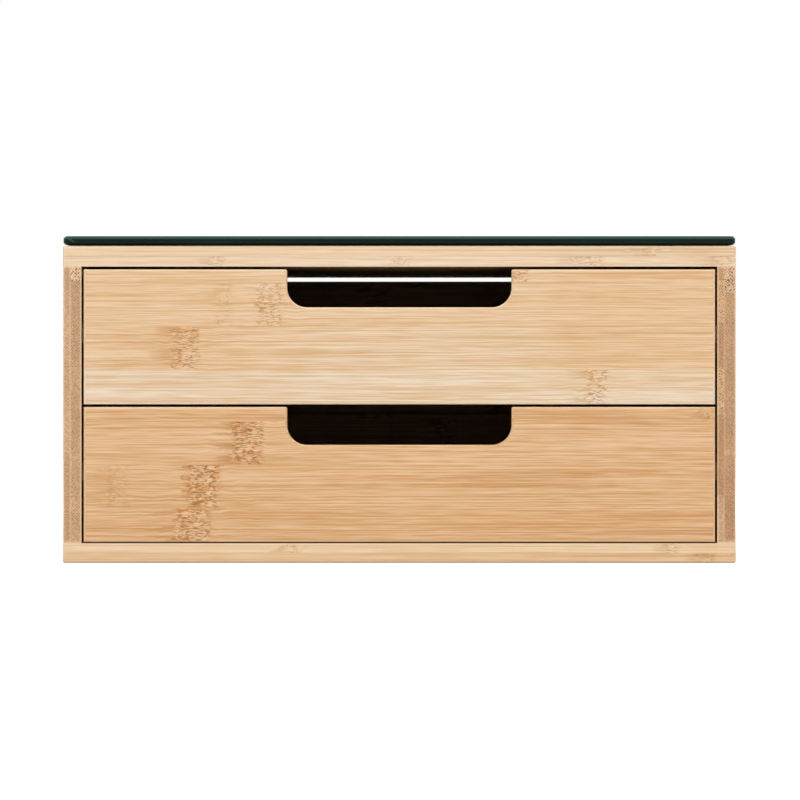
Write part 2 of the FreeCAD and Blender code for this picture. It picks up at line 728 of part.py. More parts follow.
def check_and_export():
    """Stops at any object that failed, and writes each sub-part to its own file."""
    doc.recompute()
    for thing in doc.Objects:
        if has_failed(thing):
            raise RuntimeError(f"{thing.Name} is {thing.State}")
    for part in sub_parts:
        if part.Shape.isNull() or not part.Shape.isValid() or not part.Shape.Solids:
            raise RuntimeError(f"{part.Label} has no valid solid")
    os.makedirs(PARTS_FOLDER, exist_ok=True)
    for part in sub_parts:
        part.Shape.exportStep(os.path.join(PARTS_FOLDER, f"{part.Label}.step"))
        print(f"{part.Label}: {len(part.Shape.Solids)} solids, {part.Shape.Volume / 1000:.2f} cm3")


make_case()
make_drawer("lower_drawer", lower_drawer_floor)
make_drawer("upper_drawer", upper_drawer_floor)
check_and_export()
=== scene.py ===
# %% [markdown]
# # A bamboo drawer box for coffee capsules
#
# Two shallow drawers run in a box of flat-pressed bamboo, with a black-backed glass plate on top. The
# boards, grooves and holes come from CAD, at their real sizes, and stay as they are. What is left for
# Blender is how things look: the strips that the boards are glued from, the fibres and knuckles in them,
# the cut ends, the glass, and the small fasteners, which are drawn here with their threads, recesses and
# flutes. All lengths are in metres.

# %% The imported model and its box
import math

import bpy
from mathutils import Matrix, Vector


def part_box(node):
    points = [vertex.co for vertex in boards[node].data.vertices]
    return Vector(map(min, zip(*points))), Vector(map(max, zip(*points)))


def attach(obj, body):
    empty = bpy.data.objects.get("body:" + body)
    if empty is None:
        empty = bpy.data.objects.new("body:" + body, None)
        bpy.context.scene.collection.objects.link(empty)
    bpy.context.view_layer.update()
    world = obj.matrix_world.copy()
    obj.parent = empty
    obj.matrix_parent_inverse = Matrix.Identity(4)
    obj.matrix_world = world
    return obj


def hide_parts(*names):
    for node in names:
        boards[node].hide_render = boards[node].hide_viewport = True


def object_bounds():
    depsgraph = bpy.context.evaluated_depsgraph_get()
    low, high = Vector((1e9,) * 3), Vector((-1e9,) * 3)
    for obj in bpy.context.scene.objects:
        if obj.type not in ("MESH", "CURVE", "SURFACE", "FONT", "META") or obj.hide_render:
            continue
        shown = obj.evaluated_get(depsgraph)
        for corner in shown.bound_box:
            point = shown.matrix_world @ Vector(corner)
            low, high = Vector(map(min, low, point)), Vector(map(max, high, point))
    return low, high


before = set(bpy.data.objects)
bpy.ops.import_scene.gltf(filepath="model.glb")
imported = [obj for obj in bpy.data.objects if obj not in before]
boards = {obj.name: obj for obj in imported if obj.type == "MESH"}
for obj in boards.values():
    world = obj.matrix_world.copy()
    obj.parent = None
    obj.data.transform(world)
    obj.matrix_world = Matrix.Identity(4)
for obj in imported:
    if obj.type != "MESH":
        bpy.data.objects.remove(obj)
cad_box = [list(corner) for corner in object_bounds()]
print(len(boards), "pieces, from", cad_box[0], "to", cad_box[1])

# %% [markdown]
# ## Camera
#
# The photograph looks straight at the drawer fronts: both side panels show only their front ends. A camera
# without perspective would come close to that, but a real one still sees a trace of depth in the gaps. So
# the camera stands level, far away, and uses a long lens. It stands half as high as the box, which puts
# the horizon halfway up the picture, and a hair to the right of its middle, as in the photograph. The lens
# follows from the distance and from how many millimetres of the front fill the picture.

# %% The camera
DISTANCE = 3.43
EYE_HEIGHT = 0.0750
TO_THE_RIGHT = 0.0003
SHOWN_WIDTH = 0.3686
camera_data = bpy.data.cameras.new("front_view")
camera = bpy.data.objects.new("front_view", camera_data)
bpy.context.scene.collection.objects.link(camera)
front_face = cad_box[0][1]
camera.location = (TO_THE_RIGHT, front_face - DISTANCE, EYE_HEIGHT)
camera.rotation_euler = (math.radians(90), 0, 0)
camera_data.lens = camera_data.sensor_width * DISTANCE / SHOWN_WIDTH
camera_data.clip_end = 50
bpy.context.scene.camera = camera
bpy.context.scene.view_settings.view_transform = "Standard"
print("lens", round(camera_data.lens), "mm")

# %% [markdown]
# ## Small tools for node trees
#
# A material is a tree of nodes. They can be placed and linked by hand in the Shader Editor, or with three
# lines of Python for each node. The helpers below do it in one line, so that a tree reads like the sum it
# works out. Each takes the tree, then numbers or sockets, and gives back the socket that carries the
# result.


# %% Helpers for numbers and vectors
def feed(tree, value, socket):
    """Links value to the socket if it is a socket, and otherwise sets it."""
    if isinstance(value, bpy.types.NodeSocket):
        tree.links.new(value, socket)
    else:
        socket.default_value = value


def calc(tree, operation, *values):
    """One step of arithmetic."""
    node = tree.nodes.new("ShaderNodeMath")
    node.operation = operation
    for value, socket in zip(values, node.inputs):
        feed(tree, value, socket)
    return node.outputs[0]


def times(tree, first, second):
    """The product of two numbers."""
    return calc(tree, "MULTIPLY", first, second)


def calc_vector(tree, operation, *values):
    """One step of arithmetic on vectors. A length comes out as a number, everything else as a vector."""
    node = tree.nodes.new("ShaderNodeVectorMath")
    node.operation = operation
    for value, socket in zip(values, node.inputs):
        feed(tree, value, socket)
    return node.outputs["Value" if operation == "LENGTH" else "Vector"]


def split(tree, vector):
    """The three numbers of a vector."""
    node = tree.nodes.new("ShaderNodeSeparateXYZ")
    feed(tree, vector, node.inputs[0])
    return node.outputs


def join(tree, *numbers):
    """A vector of three numbers."""
    node = tree.nodes.new("ShaderNodeCombineXYZ")
    for number, socket in zip(numbers, node.inputs):
        feed(tree, number, socket)
    return node.outputs[0]


def stretch(tree, vector, factors):
    """The vector with each of its numbers multiplied by its own factor."""
    return calc_vector(tree, "MULTIPLY", vector, factors)


print("helpers for numbers ready")

# %% [markdown]
# A mask is a number from 0 to 1 that says how strongly something shows. Most masks here come from a value
# that rises smoothly from 0 to 1 between two limits, which is what a Map Range node does.


# %% Helpers for masks
def ease(tree, value, low, high):
    """0 below low, 1 above high, and a smooth rise between them."""
    node = tree.nodes.new("ShaderNodeMapRange")
    node.interpolation_type = "SMOOTHSTEP"
    for number, socket in zip((value, low, high), node.inputs):
        feed(tree, number, socket)
    return node.outputs[0]


def fade(tree, value, low, high):
    """1 below low, 0 above high, and a smooth fall between them."""
    return calc(tree, "SUBTRACT", 1, ease(tree, value, low, high))


def centred(tree, value):
    """A value between 0 and 1, lowered by a half so that it swings around zero."""
    return calc(tree, "SUBTRACT", value, 0.5)


print("helpers for masks ready")

# %% [markdown]
# Two kinds of chance are needed. Noise changes softly from point to point, and its scale says how many
# bumps fit into a metre. Dice give every vector its own number, with no link to its neighbours. Both give
# the same numbers in each run. Colours are mixed by a share from 0 to 1.


# %% Helpers for chance and colour
def noise(tree, vector, scale=1, detail=2):
    """Soft random values around a half, with bumps about 1 / scale apart, and three of them as a colour."""
    node = tree.nodes.new("ShaderNodeTexNoise")
    for label, value in {"Vector": vector, "Scale": scale, "Detail": detail}.items():
        feed(tree, value, node.inputs[label])
    return node.outputs


def grainy(tree, place, along, across, detail=0):
    """Noise with its own number of bumps per metre along the grain and across it."""
    return noise(tree, stretch(tree, place, (along, across, across)), detail=detail)[0]


def dice(tree, vector):
    """One random number for each vector, and three more as a colour."""
    node = tree.nodes.new("ShaderNodeTexWhiteNoise")
    feed(tree, vector, node.inputs["Vector"])
    return node.outputs


def mix(tree, share, first, second, way="MIX"):
    """A mix of two colours."""
    node = tree.nodes.new("ShaderNodeMix")
    node.data_type = "RGBA"
    node.blend_type = way
    for value, number in ((share, 0), (first, 6), (second, 7)):
        feed(tree, value, node.inputs[number])
    return node.outputs[2]


def lay_over(tree, mask, strength, color, other, way="MIX"):
    """The colour with another laid over it where a mask says so, and no stronger than strength."""
    return mix(tree, times(tree, mask, strength), color, other, way)


def paint(red, green, blue):
    """The shader's colour for one read off a screen, where each number goes from 0 to 255."""
    light = [c / 255 / 12.92 if c <= 10 else ((c / 255 + 0.055) / 1.055) ** 2.4 for c in (red, green, blue)]
    return (*light, 1)


print("mid grey counts as", round(paint(128, 128, 128)[0], 3))

# %% [markdown]
# A group is a tree with named inputs and outputs that many materials can share. Without one, each of some
# thirty materials would hold its own copy of the bamboo. Changing the group once changes them all.


# %% Helpers for groups and materials
FLOAT = "NodeSocketFloat"
VECTOR = "NodeSocketVector"
COLOR = "NodeSocketColor"


def new_group(name, inputs, outputs):
    """An empty shader group, and the sockets that its inputs come from and its results go to."""
    group = bpy.data.node_groups.new(name, "ShaderNodeTree")
    for label, kind in inputs.items():
        group.interface.new_socket(label, in_out="INPUT", socket_type=kind)
    for label, kind in outputs.items():
        group.interface.new_socket(label, in_out="OUTPUT", socket_type=kind)
    start = group.nodes.new("NodeGroupInput")
    end = group.nodes.new("NodeGroupOutput")
    return group, start.outputs, end.inputs


def use_group(tree, group, values):
    """Places a group in a tree and gives back its outputs."""
    node = tree.nodes.new("ShaderNodeGroup")
    node.node_tree = group
    for label, value in values.items():
        feed(tree, value, node.inputs[label])
    return node.outputs


def new_material(name):
    """A new material, its tree, its shader, and the coordinates of the points it is seen on."""
    material = bpy.data.materials.new(name)
    material.use_nodes = True
    tree = material.node_tree
    place = tree.nodes.new("ShaderNodeTexCoord").outputs
    return material, tree, tree.nodes["Principled BSDF"], place


def wear(node, material):
    """Puts a material on a CAD piece."""
    boards[node].material_slots[0].material = material


print("helpers for groups ready")

# %% [markdown]
# ## A spot on a board
#
# Bamboo grows with a knuckle every hand's width or two. In a flat-pressed board each strip was cut from
# another cane, so a knuckle crosses one strip only and stops dead at the glue line. It could be painted
# onto each face of a board, but then the faces would not agree at the edges. A place in space shows on
# every face that it reaches, as a knuckle does in wood.
#
# The group below marks such a place: ragged where it fades out along the grain, sharp at the strip's
# edges. It also gives a wide halo, in which the fibres still ripple. Places are given along the grain,
# across the strips, and through the board.


# %% Group: spot on a board
def mark(tree, place, distance, rag, half):
    """A ragged mark along the grain: its mask, its halo, and on which side of its middle a point lies."""
    rough_end = centred(tree, grainy(tree, place, 170, 420, detail=2))
    along = calc(tree, "MULTIPLY_ADD", rough_end, rag, distance)
    reach = calc(tree, "DIVIDE", calc(tree, "ABSOLUTE", along), half)
    return fade(tree, reach, 0.55, 1.15), fade(tree, reach, 0.8, 5.0), calc(tree, "DIVIDE", along, half)


spot, given, result = new_group(
    "Spot on a board",
    {"Place": VECTOR, "Centre": VECTOR, "Half size": VECTOR, "Rag": FLOAT},
    {"Mask": FLOAT, "Halo": FLOAT, "Side": FLOAT},
)
away = split(spot, calc_vector(spot, "SUBTRACT", given["Place"], given["Centre"]))
half = split(spot, given["Half size"])
mask, halo, side = mark(spot, given["Place"], away[0], given["Rag"], half[0])
within_strip, within_ply = (
    fade(spot, calc(spot, "DIVIDE", calc(spot, "ABSOLUTE", away[i]), half[i]), 0.95, 1.0) for i in (1, 2)
)
inside = times(spot, within_strip, within_ply)
feed(spot, times(spot, mask, inside), result["Mask"])
feed(spot, times(spot, halo, inside), result["Halo"])
feed(spot, side, result["Side"])
print(len(spot.nodes), "nodes in", spot.name)

# %% [markdown]
# ## Knuckles all over a board
#
# On the boards that the photograph doesn't show, nobody can say where the knuckles are, and placing
# hundreds by hand would claim more than is known. Each strip gets them at an even spacing, but starts at
# its own random place, as strips do when they come off the saw and are laid up without sorting.

# %% Group: rows of knuckles
ROW_KNUCKLE_HALF = 0.0065
ROW_KNUCKLE_RAG = 0.009
rows, given, result = new_group(
    "Rows of knuckles",
    {"Place": VECTOR, "Strip": FLOAT, "Ply": FLOAT, "Spacing": FLOAT, "Seed": FLOAT},
    {"Mask": FLOAT, "Halo": FLOAT, "Side": FLOAT},
)
grain, across, through = split(rows, given["Place"])
strip_number = calc(rows, "FLOOR", calc(rows, "DIVIDE", across, given["Strip"]))
ply_number = calc(rows, "FLOOR", calc(rows, "DIVIDE", through, given["Ply"]))
start = dice(rows, join(rows, strip_number, ply_number, given["Seed"]))[0]
turn = calc(rows, "FRACT", calc(rows, "ADD", calc(rows, "DIVIDE", grain, given["Spacing"]), start))
away = times(rows, centred(rows, turn), given["Spacing"])
mask, halo, side = mark(rows, given["Place"], away, ROW_KNUCKLE_RAG, ROW_KNUCKLE_HALF)
feed(rows, mask, result["Mask"])
feed(rows, halo, result["Halo"])
feed(rows, side, result["Side"])
print(len(rows.nodes), "nodes in", rows.name)

# %% [markdown]
# ## Bamboo
#
# One group draws the wood itself. Seen along a strip, bamboo is a bundle of straight fibres: long thin
# lines in tan, honey and cream. A picture of bamboo could be laid on every board, but it would repeat, and
# at a cut it would show the same lines again instead of the ends of the fibres. So the wood is worked out
# from the place of each point, and any cut through it shows what lies there.
#
# The place comes in with the sizes of strips and plies, with what is known about the knuckles, and with
# the tones of the board.

# %% Group: bamboo, its inputs
DASH_BROWN = paint(134, 86, 43)
PIT_BROWN = paint(92, 62, 36)
DOT_BROWN = paint(118, 79, 49)
GLUE_BROWN = paint(158, 108, 66)
AMBER = paint(244, 216, 166)
PINKISH = paint(255, 243, 238)
YELLOWISH = paint(252, 252, 236)

numbers = ("Strip", "Ply", "Seed", "End", "Knuckle", "Halo", "Side")
colors = ("Pale", "Warm", "Fibre", "End light", "End dark")
bamboo, given, result = new_group(
    "Bamboo",
    {"Place": VECTOR, **dict.fromkeys(numbers, FLOAT), **dict.fromkeys(colors, COLOR)},
    {"Color": COLOR, "Roughness": FLOAT, "Height": FLOAT},
)
grain, across, through = split(bamboo, given["Place"])
strip_place = calc(bamboo, "DIVIDE", across, given["Strip"])
ply_place = calc(bamboo, "DIVIDE", through, given["Ply"])
strip_id = join(bamboo, calc(bamboo, "FLOOR", strip_place), calc(bamboo, "FLOOR", ply_place), given["Seed"])
strip_shade, strip_offset = dice(bamboo, strip_id)
print("bamboo takes", len(bamboo.interface.items_tree) - 3, "inputs")

# %% [markdown]
# A noise that is squeezed many times finer across the grain than along it gives the fibres. Four layers
# make the tone: short threads and long fine fibres, both under a millimetre thick, streaks of a few
# millimetres, and a broad drift. Each layer has its bumps per metre along and across the grain and its
# weight, and the first two count most. The hue wanders a little between pinkish and yellowish, and darker
# veins run in bundles.
#
# Each strip has its own shade and its own set of lines, because it comes from another cane. The lines bend
# a little everywhere, and more near a knuckle.

# %% Group: bamboo, the long grain
RIPPLE = 0.0027
DRIFT = 0.0022
TONE_SPREAD = 0.33
LAYERS = {
    "thread": (70, 1900, 0.54),
    "fine": (10, 1500, 0.68),
    "streak": (6, 330, 0.06),
    "broad": (3, 80, 0.06),
}
ripple = centred(bamboo, grainy(bamboo, given["Place"], 110, 190, detail=2))
drift = centred(bamboo, grainy(bamboo, given["Place"], 7, 22, detail=2))
bend = times(bamboo, times(bamboo, ripple, given["Halo"]), RIPPLE)
bend = calc(bamboo, "MULTIPLY_ADD", drift, DRIFT, bend)
line_place = join(bamboo, grain, calc(bamboo, "ADD", across, bend), through)
line_place = calc_vector(bamboo, "ADD", line_place, stretch(bamboo, strip_offset, (3.1, 7.7, 5.3)))

layers = {}
tone = times(bamboo, centred(bamboo, strip_shade), 0.05)
for label, (along_grain, across_grain, weight) in LAYERS.items():
    layers[label] = grainy(bamboo, line_place, along_grain, across_grain)
    tone = calc(bamboo, "MULTIPLY_ADD", layers[label], weight, tone)
middle_tone = sum(weight for along_grain, across_grain, weight in LAYERS.values()) / 2
share = ease(bamboo, tone, middle_tone - TONE_SPREAD, middle_tone + TONE_SPREAD)
wood = mix(bamboo, share, given["Pale"], given["Warm"])

hue = grainy(bamboo, line_place, 16, 420, detail=1)
wood = lay_over(bamboo, ease(bamboo, hue, 0.5, 0.7), 0.35, wood, PINKISH, "MULTIPLY")
wood = lay_over(bamboo, fade(bamboo, hue, 0.3, 0.5), 0.35, wood, YELLOWISH, "MULTIPLY")
vein = ease(bamboo, grainy(bamboo, line_place, 6, 1300), 0.60, 0.72)
vein = times(bamboo, vein, ease(bamboo, layers["broad"], 0.25, 0.65))
wood = lay_over(bamboo, vein, 0.52, wood, given["Fibre"])
print(len(bamboo.nodes), "nodes so far")

# %% [markdown]
# Inside a knuckle the fibres weave through each other. On the planed face that leaves thin zigzag dashes,
# far too many to draw one by one. They are drawn as the lines along which a noise is just a half, as a
# height line on a map joins the points of one height. The noise's own coordinates are pushed around by a
# second noise, so the lines are crooked, and a third noise makes some stretches of them deeper.

# %% Group: bamboo, the dashes in a knuckle
SWAY = 0.0019
sway = centred(bamboo, grainy(bamboo, given["Place"], 260, 190, detail=1))
swayed = calc(bamboo, "MULTIPLY_ADD", sway, SWAY, across)
weave_place = join(bamboo, grain, swayed, through)
weave_place = calc_vector(bamboo, "ADD", weave_place, stretch(bamboo, strip_offset, (3, 7, 5)))
weave = calc(bamboo, "ABSOLUTE", centred(bamboo, grainy(bamboo, weave_place, 250, 1250, detail=1)))
dash = times(bamboo, fade(bamboo, weave, 0.02, 0.09), given["Knuckle"])
deep = ease(bamboo, grainy(bamboo, weave_place, 300, 1100), 0.36, 0.52)
core = times(bamboo, fade(bamboo, weave, 0.01, 0.07), deep)
core = times(bamboo, core, given["Knuckle"])
gleam = times(bamboo, ease(bamboo, weave, 0.08, 0.15), given["Knuckle"])
print(len(bamboo.nodes), "nodes so far")

# %% [markdown]
# A stain lies on one side of a knuckle. Amber patches and a few dark pits lie inside it. Stain and patches
# are noises of a coarser scale. A noise has no round spots, so the pits are the middles of some cells of a
# Voronoi pattern, picked by the random colour that each cell has.

# %% Group: bamboo, stain, patches and pits
stain = times(bamboo, given["Halo"], fade(bamboo, given["Side"], -0.6, 0.2))
stain = times(bamboo, stain, ease(bamboo, given["Side"], -2.6, -1.1))
smear = ease(bamboo, grainy(bamboo, weave_place, 50, 430, detail=1), 0.44, 0.60)
stain = times(bamboo, stain, smear)
patch = ease(bamboo, grainy(bamboo, weave_place, 120, 420, detail=1), 0.54, 0.62)
patch = times(bamboo, patch, given["Knuckle"])
pits = bamboo.nodes.new("ShaderNodeTexVoronoi")
feed(bamboo, stretch(bamboo, given["Place"], (420, 420, 420)), pits.inputs["Vector"])
feed(bamboo, 1, pits.inputs["Scale"])
picked = ease(bamboo, split(bamboo, pits.outputs["Color"])[0], 0.74, 0.76)
pit = times(bamboo, fade(bamboo, pits.outputs["Distance"], 0.10, 0.24), given["Knuckle"])
pit = times(bamboo, pit, picked)

wood = lay_over(bamboo, stain, 0.7, wood, given["Fibre"])
wood = lay_over(bamboo, dash, 0.7, wood, given["Fibre"])
wood = lay_over(bamboo, core, 0.84, wood, DASH_BROWN)
wood = lay_over(bamboo, gleam, 0.7, wood, given["Pale"])
wood = lay_over(bamboo, patch, 0.8, wood, AMBER, "MULTIPLY")
wood = lay_over(bamboo, pit, 0.8, wood, PIT_BROWN)
print(len(bamboo.nodes), "nodes so far")

# %% [markdown]
# A cut end is brown and speckled. The dark dots are the ends of fibre bundles. A Voronoi pattern draws
# them: it measures how far a point is from the nearest of many scattered middles, and close to one there
# is a dot. The dots cover more of the ground towards the cane's skin, so they grow a little from one face
# of a ply to the other, and the skin shows as a paler line at the seam of two plies. Where a knuckle lies
# just behind the cut, the dots are darker on a paler ground.

# %% Group: bamboo, cut ends
DOTS_PER_METRE = 690
side_steps = (calc(bamboo, "ADD", across, through), calc(bamboo, "SUBTRACT", through, across))
dot_place = calc_vector(
    bamboo, "ADD", join(bamboo, 0.0, *side_steps), stretch(bamboo, strip_offset, (0, 3, 5))
)
ends = bamboo.nodes.new("ShaderNodeTexVoronoi")
for label, value in (("Vector", dot_place), ("Scale", DOTS_PER_METRE), ("Randomness", 0.4)):
    feed(bamboo, value, ends.inputs[label])
to_skin = calc(bamboo, "FRACT", ply_place)
dot_size = calc(bamboo, "MULTIPLY_ADD", to_skin, 0.08, 0.44)
dot_size = calc(bamboo, "MULTIPLY_ADD", strip_shade, 0.08, dot_size)
dot = fade(bamboo, ends.outputs["Distance"], times(bamboo, dot_size, 0.5), dot_size)
dot_strength = calc(bamboo, "MULTIPLY_ADD", given["Knuckle"], 0.56, 0.44)
ply_gap = times(bamboo, calc(bamboo, "PINGPONG", ply_place, 0.5), given["Ply"])
skin = fade(bamboo, ply_gap, 0.0001, 0.0006)
grit = ease(bamboo, grainy(bamboo, given["Place"], 0, 1500, detail=1), 0.3, 0.7)

end_shade = calc(bamboo, "MULTIPLY_ADD", centred(bamboo, strip_shade), 0.5, layers["broad"])
end_tone = mix(bamboo, ease(bamboo, end_shade, 0.2, 0.8), given["End light"], given["End dark"])
end_tone = lay_over(bamboo, grit, 0.28, end_tone, given["Pale"])
end_tone = lay_over(bamboo, given["Knuckle"], 0.5, end_tone, given["Pale"])
end_tone = lay_over(bamboo, dot, dot_strength, end_tone, DOT_BROWN)
end_tone = lay_over(bamboo, skin, 0.35, end_tone, given["Pale"])
wood = mix(bamboo, given["End"], wood, end_tone)
print(len(bamboo.nodes), "nodes so far")

# %% [markdown]
# Thin glue lines run between the strips and between the plies. The joints are planed nearly flush, so a
# line is a colour with a trace of relief, and needs no groove in the mesh. Only some of them are plain to
# see, so each line between strips gets its own strength by chance.

# %% Group: bamboo, glue lines
strip_gap = times(bamboo, calc(bamboo, "PINGPONG", strip_place, 0.5), given["Strip"])
seam_number = calc(bamboo, "ROUND", strip_place)
seam_chance = dice(bamboo, join(bamboo, seam_number, given["Seed"], 4.0))[0]
seam_strength = calc(bamboo, "MULTIPLY_ADD", seam_chance, 0.45, 0.12)
strip_seam = times(bamboo, fade(bamboo, strip_gap, 0.00005, 0.00028), seam_strength)
ply_seam = times(bamboo, fade(bamboo, ply_gap, 0.00004, 0.00022), 0.28)
seam = calc(bamboo, "MAXIMUM", strip_seam, ply_seam)
feed(bamboo, mix(bamboo, seam, wood, GLUE_BROWN), result["Color"])
print(len(bamboo.nodes), "nodes so far")

# %% [markdown]
# The lacquer is satin on the long grain and duller on cut ends, which drink more of it. The fibres stand
# up a little, and dashes, pits, glue lines and the dots of a cut end lie lower. That relief is a few
# hundredths of a millimetre, too fine for a mesh, so it goes out as a height for the Bump node, which only
# changes how the light falls.

# %% Group: bamboo, shine and relief
sheen = calc(bamboo, "MULTIPLY_ADD", layers["fine"], 0.14, 0.40)
sheen = calc(bamboo, "MULTIPLY_ADD", given["End"], 0.16, sheen)
feed(bamboo, calc(bamboo, "MULTIPLY_ADD", dash, 0.10, sheen), result["Roughness"])
height = calc(bamboo, "MULTIPLY_ADD", layers["thread"], 0.25, times(bamboo, layers["fine"], 0.35))
end_dot = times(bamboo, dot, given["End"])
for dent, depth in ((dash, -0.08), (pit, -0.5), (seam, -0.6), (end_dot, -0.3)):
    height = calc(bamboo, "MULTIPLY_ADD", dent, depth, height)
feed(bamboo, height, result["Height"])
print(len(bamboo.nodes), "nodes in", bamboo.name)

# %% [markdown]
# ## Paler edges: sanding and a painted highlight
#
# Every edge was run over with sandpaper before the lacquer went on, and the eased edges catch the light.
# Both show as one paler band along each edge: partly the wood's sanding, partly a painted highlight. That
# could be painted by hand, but a measure follows each board's own size. A point is near an edge if it is
# close to two faces of its board at once, so the group measures the distances to all three pairs of faces
# and takes the second smallest.

# %% Group: paler edge, from sanding and a painted highlight
sanding_and_highlight, given, result = new_group(
    "Sanded edge and highlight", {"Place": VECTOR, "Low": VECTOR, "High": VECTOR, "Width": FLOAT}, {"Mask": FLOAT}
)
from_low = calc_vector(sanding_and_highlight, "ABSOLUTE", calc_vector(sanding_and_highlight, "SUBTRACT", given["Place"], given["Low"]))
from_high = calc_vector(sanding_and_highlight, "ABSOLUTE", calc_vector(sanding_and_highlight, "SUBTRACT", given["High"], given["Place"]))
one, two, three = split(sanding_and_highlight, calc_vector(sanding_and_highlight, "MINIMUM", from_low, from_high))
nearer = calc(sanding_and_highlight, "MINIMUM", one, two)
farther = calc(sanding_and_highlight, "MAXIMUM", one, two)
second = calc(sanding_and_highlight, "MAXIMUM", nearer, calc(sanding_and_highlight, "MINIMUM", farther, three))
feed(sanding_and_highlight, fade(sanding_and_highlight, second, 0.0001, given["Width"]), result["Mask"])
print(len(sanding_and_highlight.nodes), "nodes in", sanding_and_highlight.name)

# %% [markdown]
# ## From groups to a board's material
#
# The boards that the photograph shows have tones matched to it: the fronts, the base, the top and the side
# panels each have their own three. The boards inside are not seen, and share one guessed set.

# %% Tones of the bamboo, and its finish
TONES = {
    "upper": {"Pale": paint(242, 219, 188), "Warm": paint(219, 180, 130), "Fibre": paint(206, 156, 98)},
    "lower": {"Pale": paint(239, 207, 167), "Warm": paint(207, 156, 98), "Fibre": paint(190, 134, 76)},
    "top": {"Pale": paint(227, 205, 179), "Warm": paint(211, 183, 149), "Fibre": paint(190, 152, 108)},
    "base": {"Pale": paint(231, 207, 178), "Warm": paint(215, 185, 147), "Fibre": paint(192, 152, 106)},
    "side": {"Pale": paint(240, 214, 180), "Warm": paint(224, 188, 144), "Fibre": paint(202, 154, 104)},
    "inner": {"Pale": paint(236, 207, 168), "Warm": paint(218, 176, 128), "Fibre": paint(198, 148, 96)},
}
ENDS = {"End light": paint(195, 154, 113), "End dark": paint(179, 139, 100)}
STRIP = 0.020
EDGE_WIDTH = 0.0011
# How much paler the edges get: the sanding and a painted highlight.
EDGE_SANDING_AND_HIGHLIGHT = 0.45
LACQUER_SHINE = 0.35
print("tones:", ", ".join(TONES))

# %% [markdown]
# Each board has its own grain direction and its own strips, so each gets its own material from one
# function. It puts the coordinates in the group's order, finds the cut ends from the surface direction,
# pales the edges with the sanding and a painted highlight, and ends in one shader with a satin lacquer.


# %% A board's material
def bamboo_material(name, grain, across, seed, tone, ply, shift, low, high):
    """A board's material, and what its knuckles need: the tree, its place socket and its bamboo node."""
    material, tree, shader, place = new_material(name)
    through = "XYZ".replace(grain, "").replace(across, "")
    spots = dict(zip("XYZ", split(tree, place["Object"])))
    facing = dict(zip("XYZ", split(tree, place["Normal"])))
    board_place = calc_vector(tree, "ADD", join(tree, spots[grain], spots[across], spots[through]), shift)
    wood = tree.nodes.new("ShaderNodeGroup")
    wood.node_tree = bamboo
    values = {"Place": board_place, "Strip": STRIP, "Ply": ply, "Seed": seed, **ENDS, **TONES[tone]}
    for label, value in values.items():
        feed(tree, value, wood.inputs[label])
    feed(tree, ease(tree, calc(tree, "ABSOLUTE", facing[grain]), 0.55, 0.85), wood.inputs["End"])
    # Paler along the edges: the sanding and a painted highlight of the eased edges.
    corners = {"Place": place["Object"], "Low": low, "High": high, "Width": EDGE_WIDTH}
    edge = use_group(tree, sanding_and_highlight, corners)["Mask"]
    color = lay_over(tree, edge, EDGE_SANDING_AND_HIGHLIGHT, wood.outputs["Color"], TONES[tone]["Pale"])
    feed(tree, color, shader.inputs["Base Color"])
    feed(tree, wood.outputs["Roughness"], shader.inputs["Roughness"])
    shader.inputs["Specular IOR Level"].default_value = LACQUER_SHINE
    bump = tree.nodes.new("ShaderNodeBump")
    for label, value in (("Strength", 0.35), ("Distance", 0.00012), ("Height", wood.outputs["Height"])):
        feed(tree, value, bump.inputs[label])
    feed(tree, bump.outputs[0], shader.inputs["Normal"])
    return material, tree, board_place, wood


print("a board's material can be made")

# %% [markdown]
# Knuckles come in two ways. The fronts, and the front edges of base and top, get them where the photograph
# shows them, each with its own spot. The wide faces of base and top and all other boards get the random
# rows.
#
# Strips also differ in tone over long stretches. Such a stretch is a spot that multiplies the colour by a
# tint. A tint number below 255 makes it darker, and one above 255 makes it paler.

# %% Knuckles for a material
KNUCKLE_RAG = 0.008
FAR_SIDE = 9.0
TINT_STRENGTH = 0.9


def find_spot(tree, board_place, centre, half_size, rag):
    """What the spot group says for one place."""
    values = {"Place": board_place, "Centre": centre, "Half size": half_size, "Rag": rag}
    return use_group(tree, spot, values)


def find_rows(tree, board_place, ply, spacing, seed):
    """What the rows group says for one board."""
    values = {"Place": board_place, "Strip": STRIP, "Ply": ply, "Spacing": spacing, "Seed": seed}
    return use_group(tree, rows, values)


def set_knuckles(tree, wood, mask, halo, side):
    """Tells a board's bamboo where its knuckles are."""
    for label, value in (("Knuckle", mask), ("Halo", halo), ("Side", side)):
        feed(tree, value, wood.inputs[label])


def add_spots(tree, board_place, wood, places, mask=0.0, halo=0.0, side=FAR_SIDE):
    """Knuckles at given places, each (centre, half size, strength), in the board's own directions."""
    for centre, half_size, strength in places:
        found = find_spot(tree, board_place, centre, half_size, KNUCKLE_RAG)
        mask = calc(tree, "MAXIMUM", mask, times(tree, found["Mask"], strength))
        halo = calc(tree, "MAXIMUM", halo, times(tree, found["Halo"], min(1.0, strength + 0.2)))
        near = calc(tree, "GREATER_THAN", found["Halo"], 0.001)
        apart = calc(tree, "SUBTRACT", found["Side"], side)
        side = calc(tree, "MULTIPLY_ADD", near, apart, side)
    set_knuckles(tree, wood, mask, halo, side)


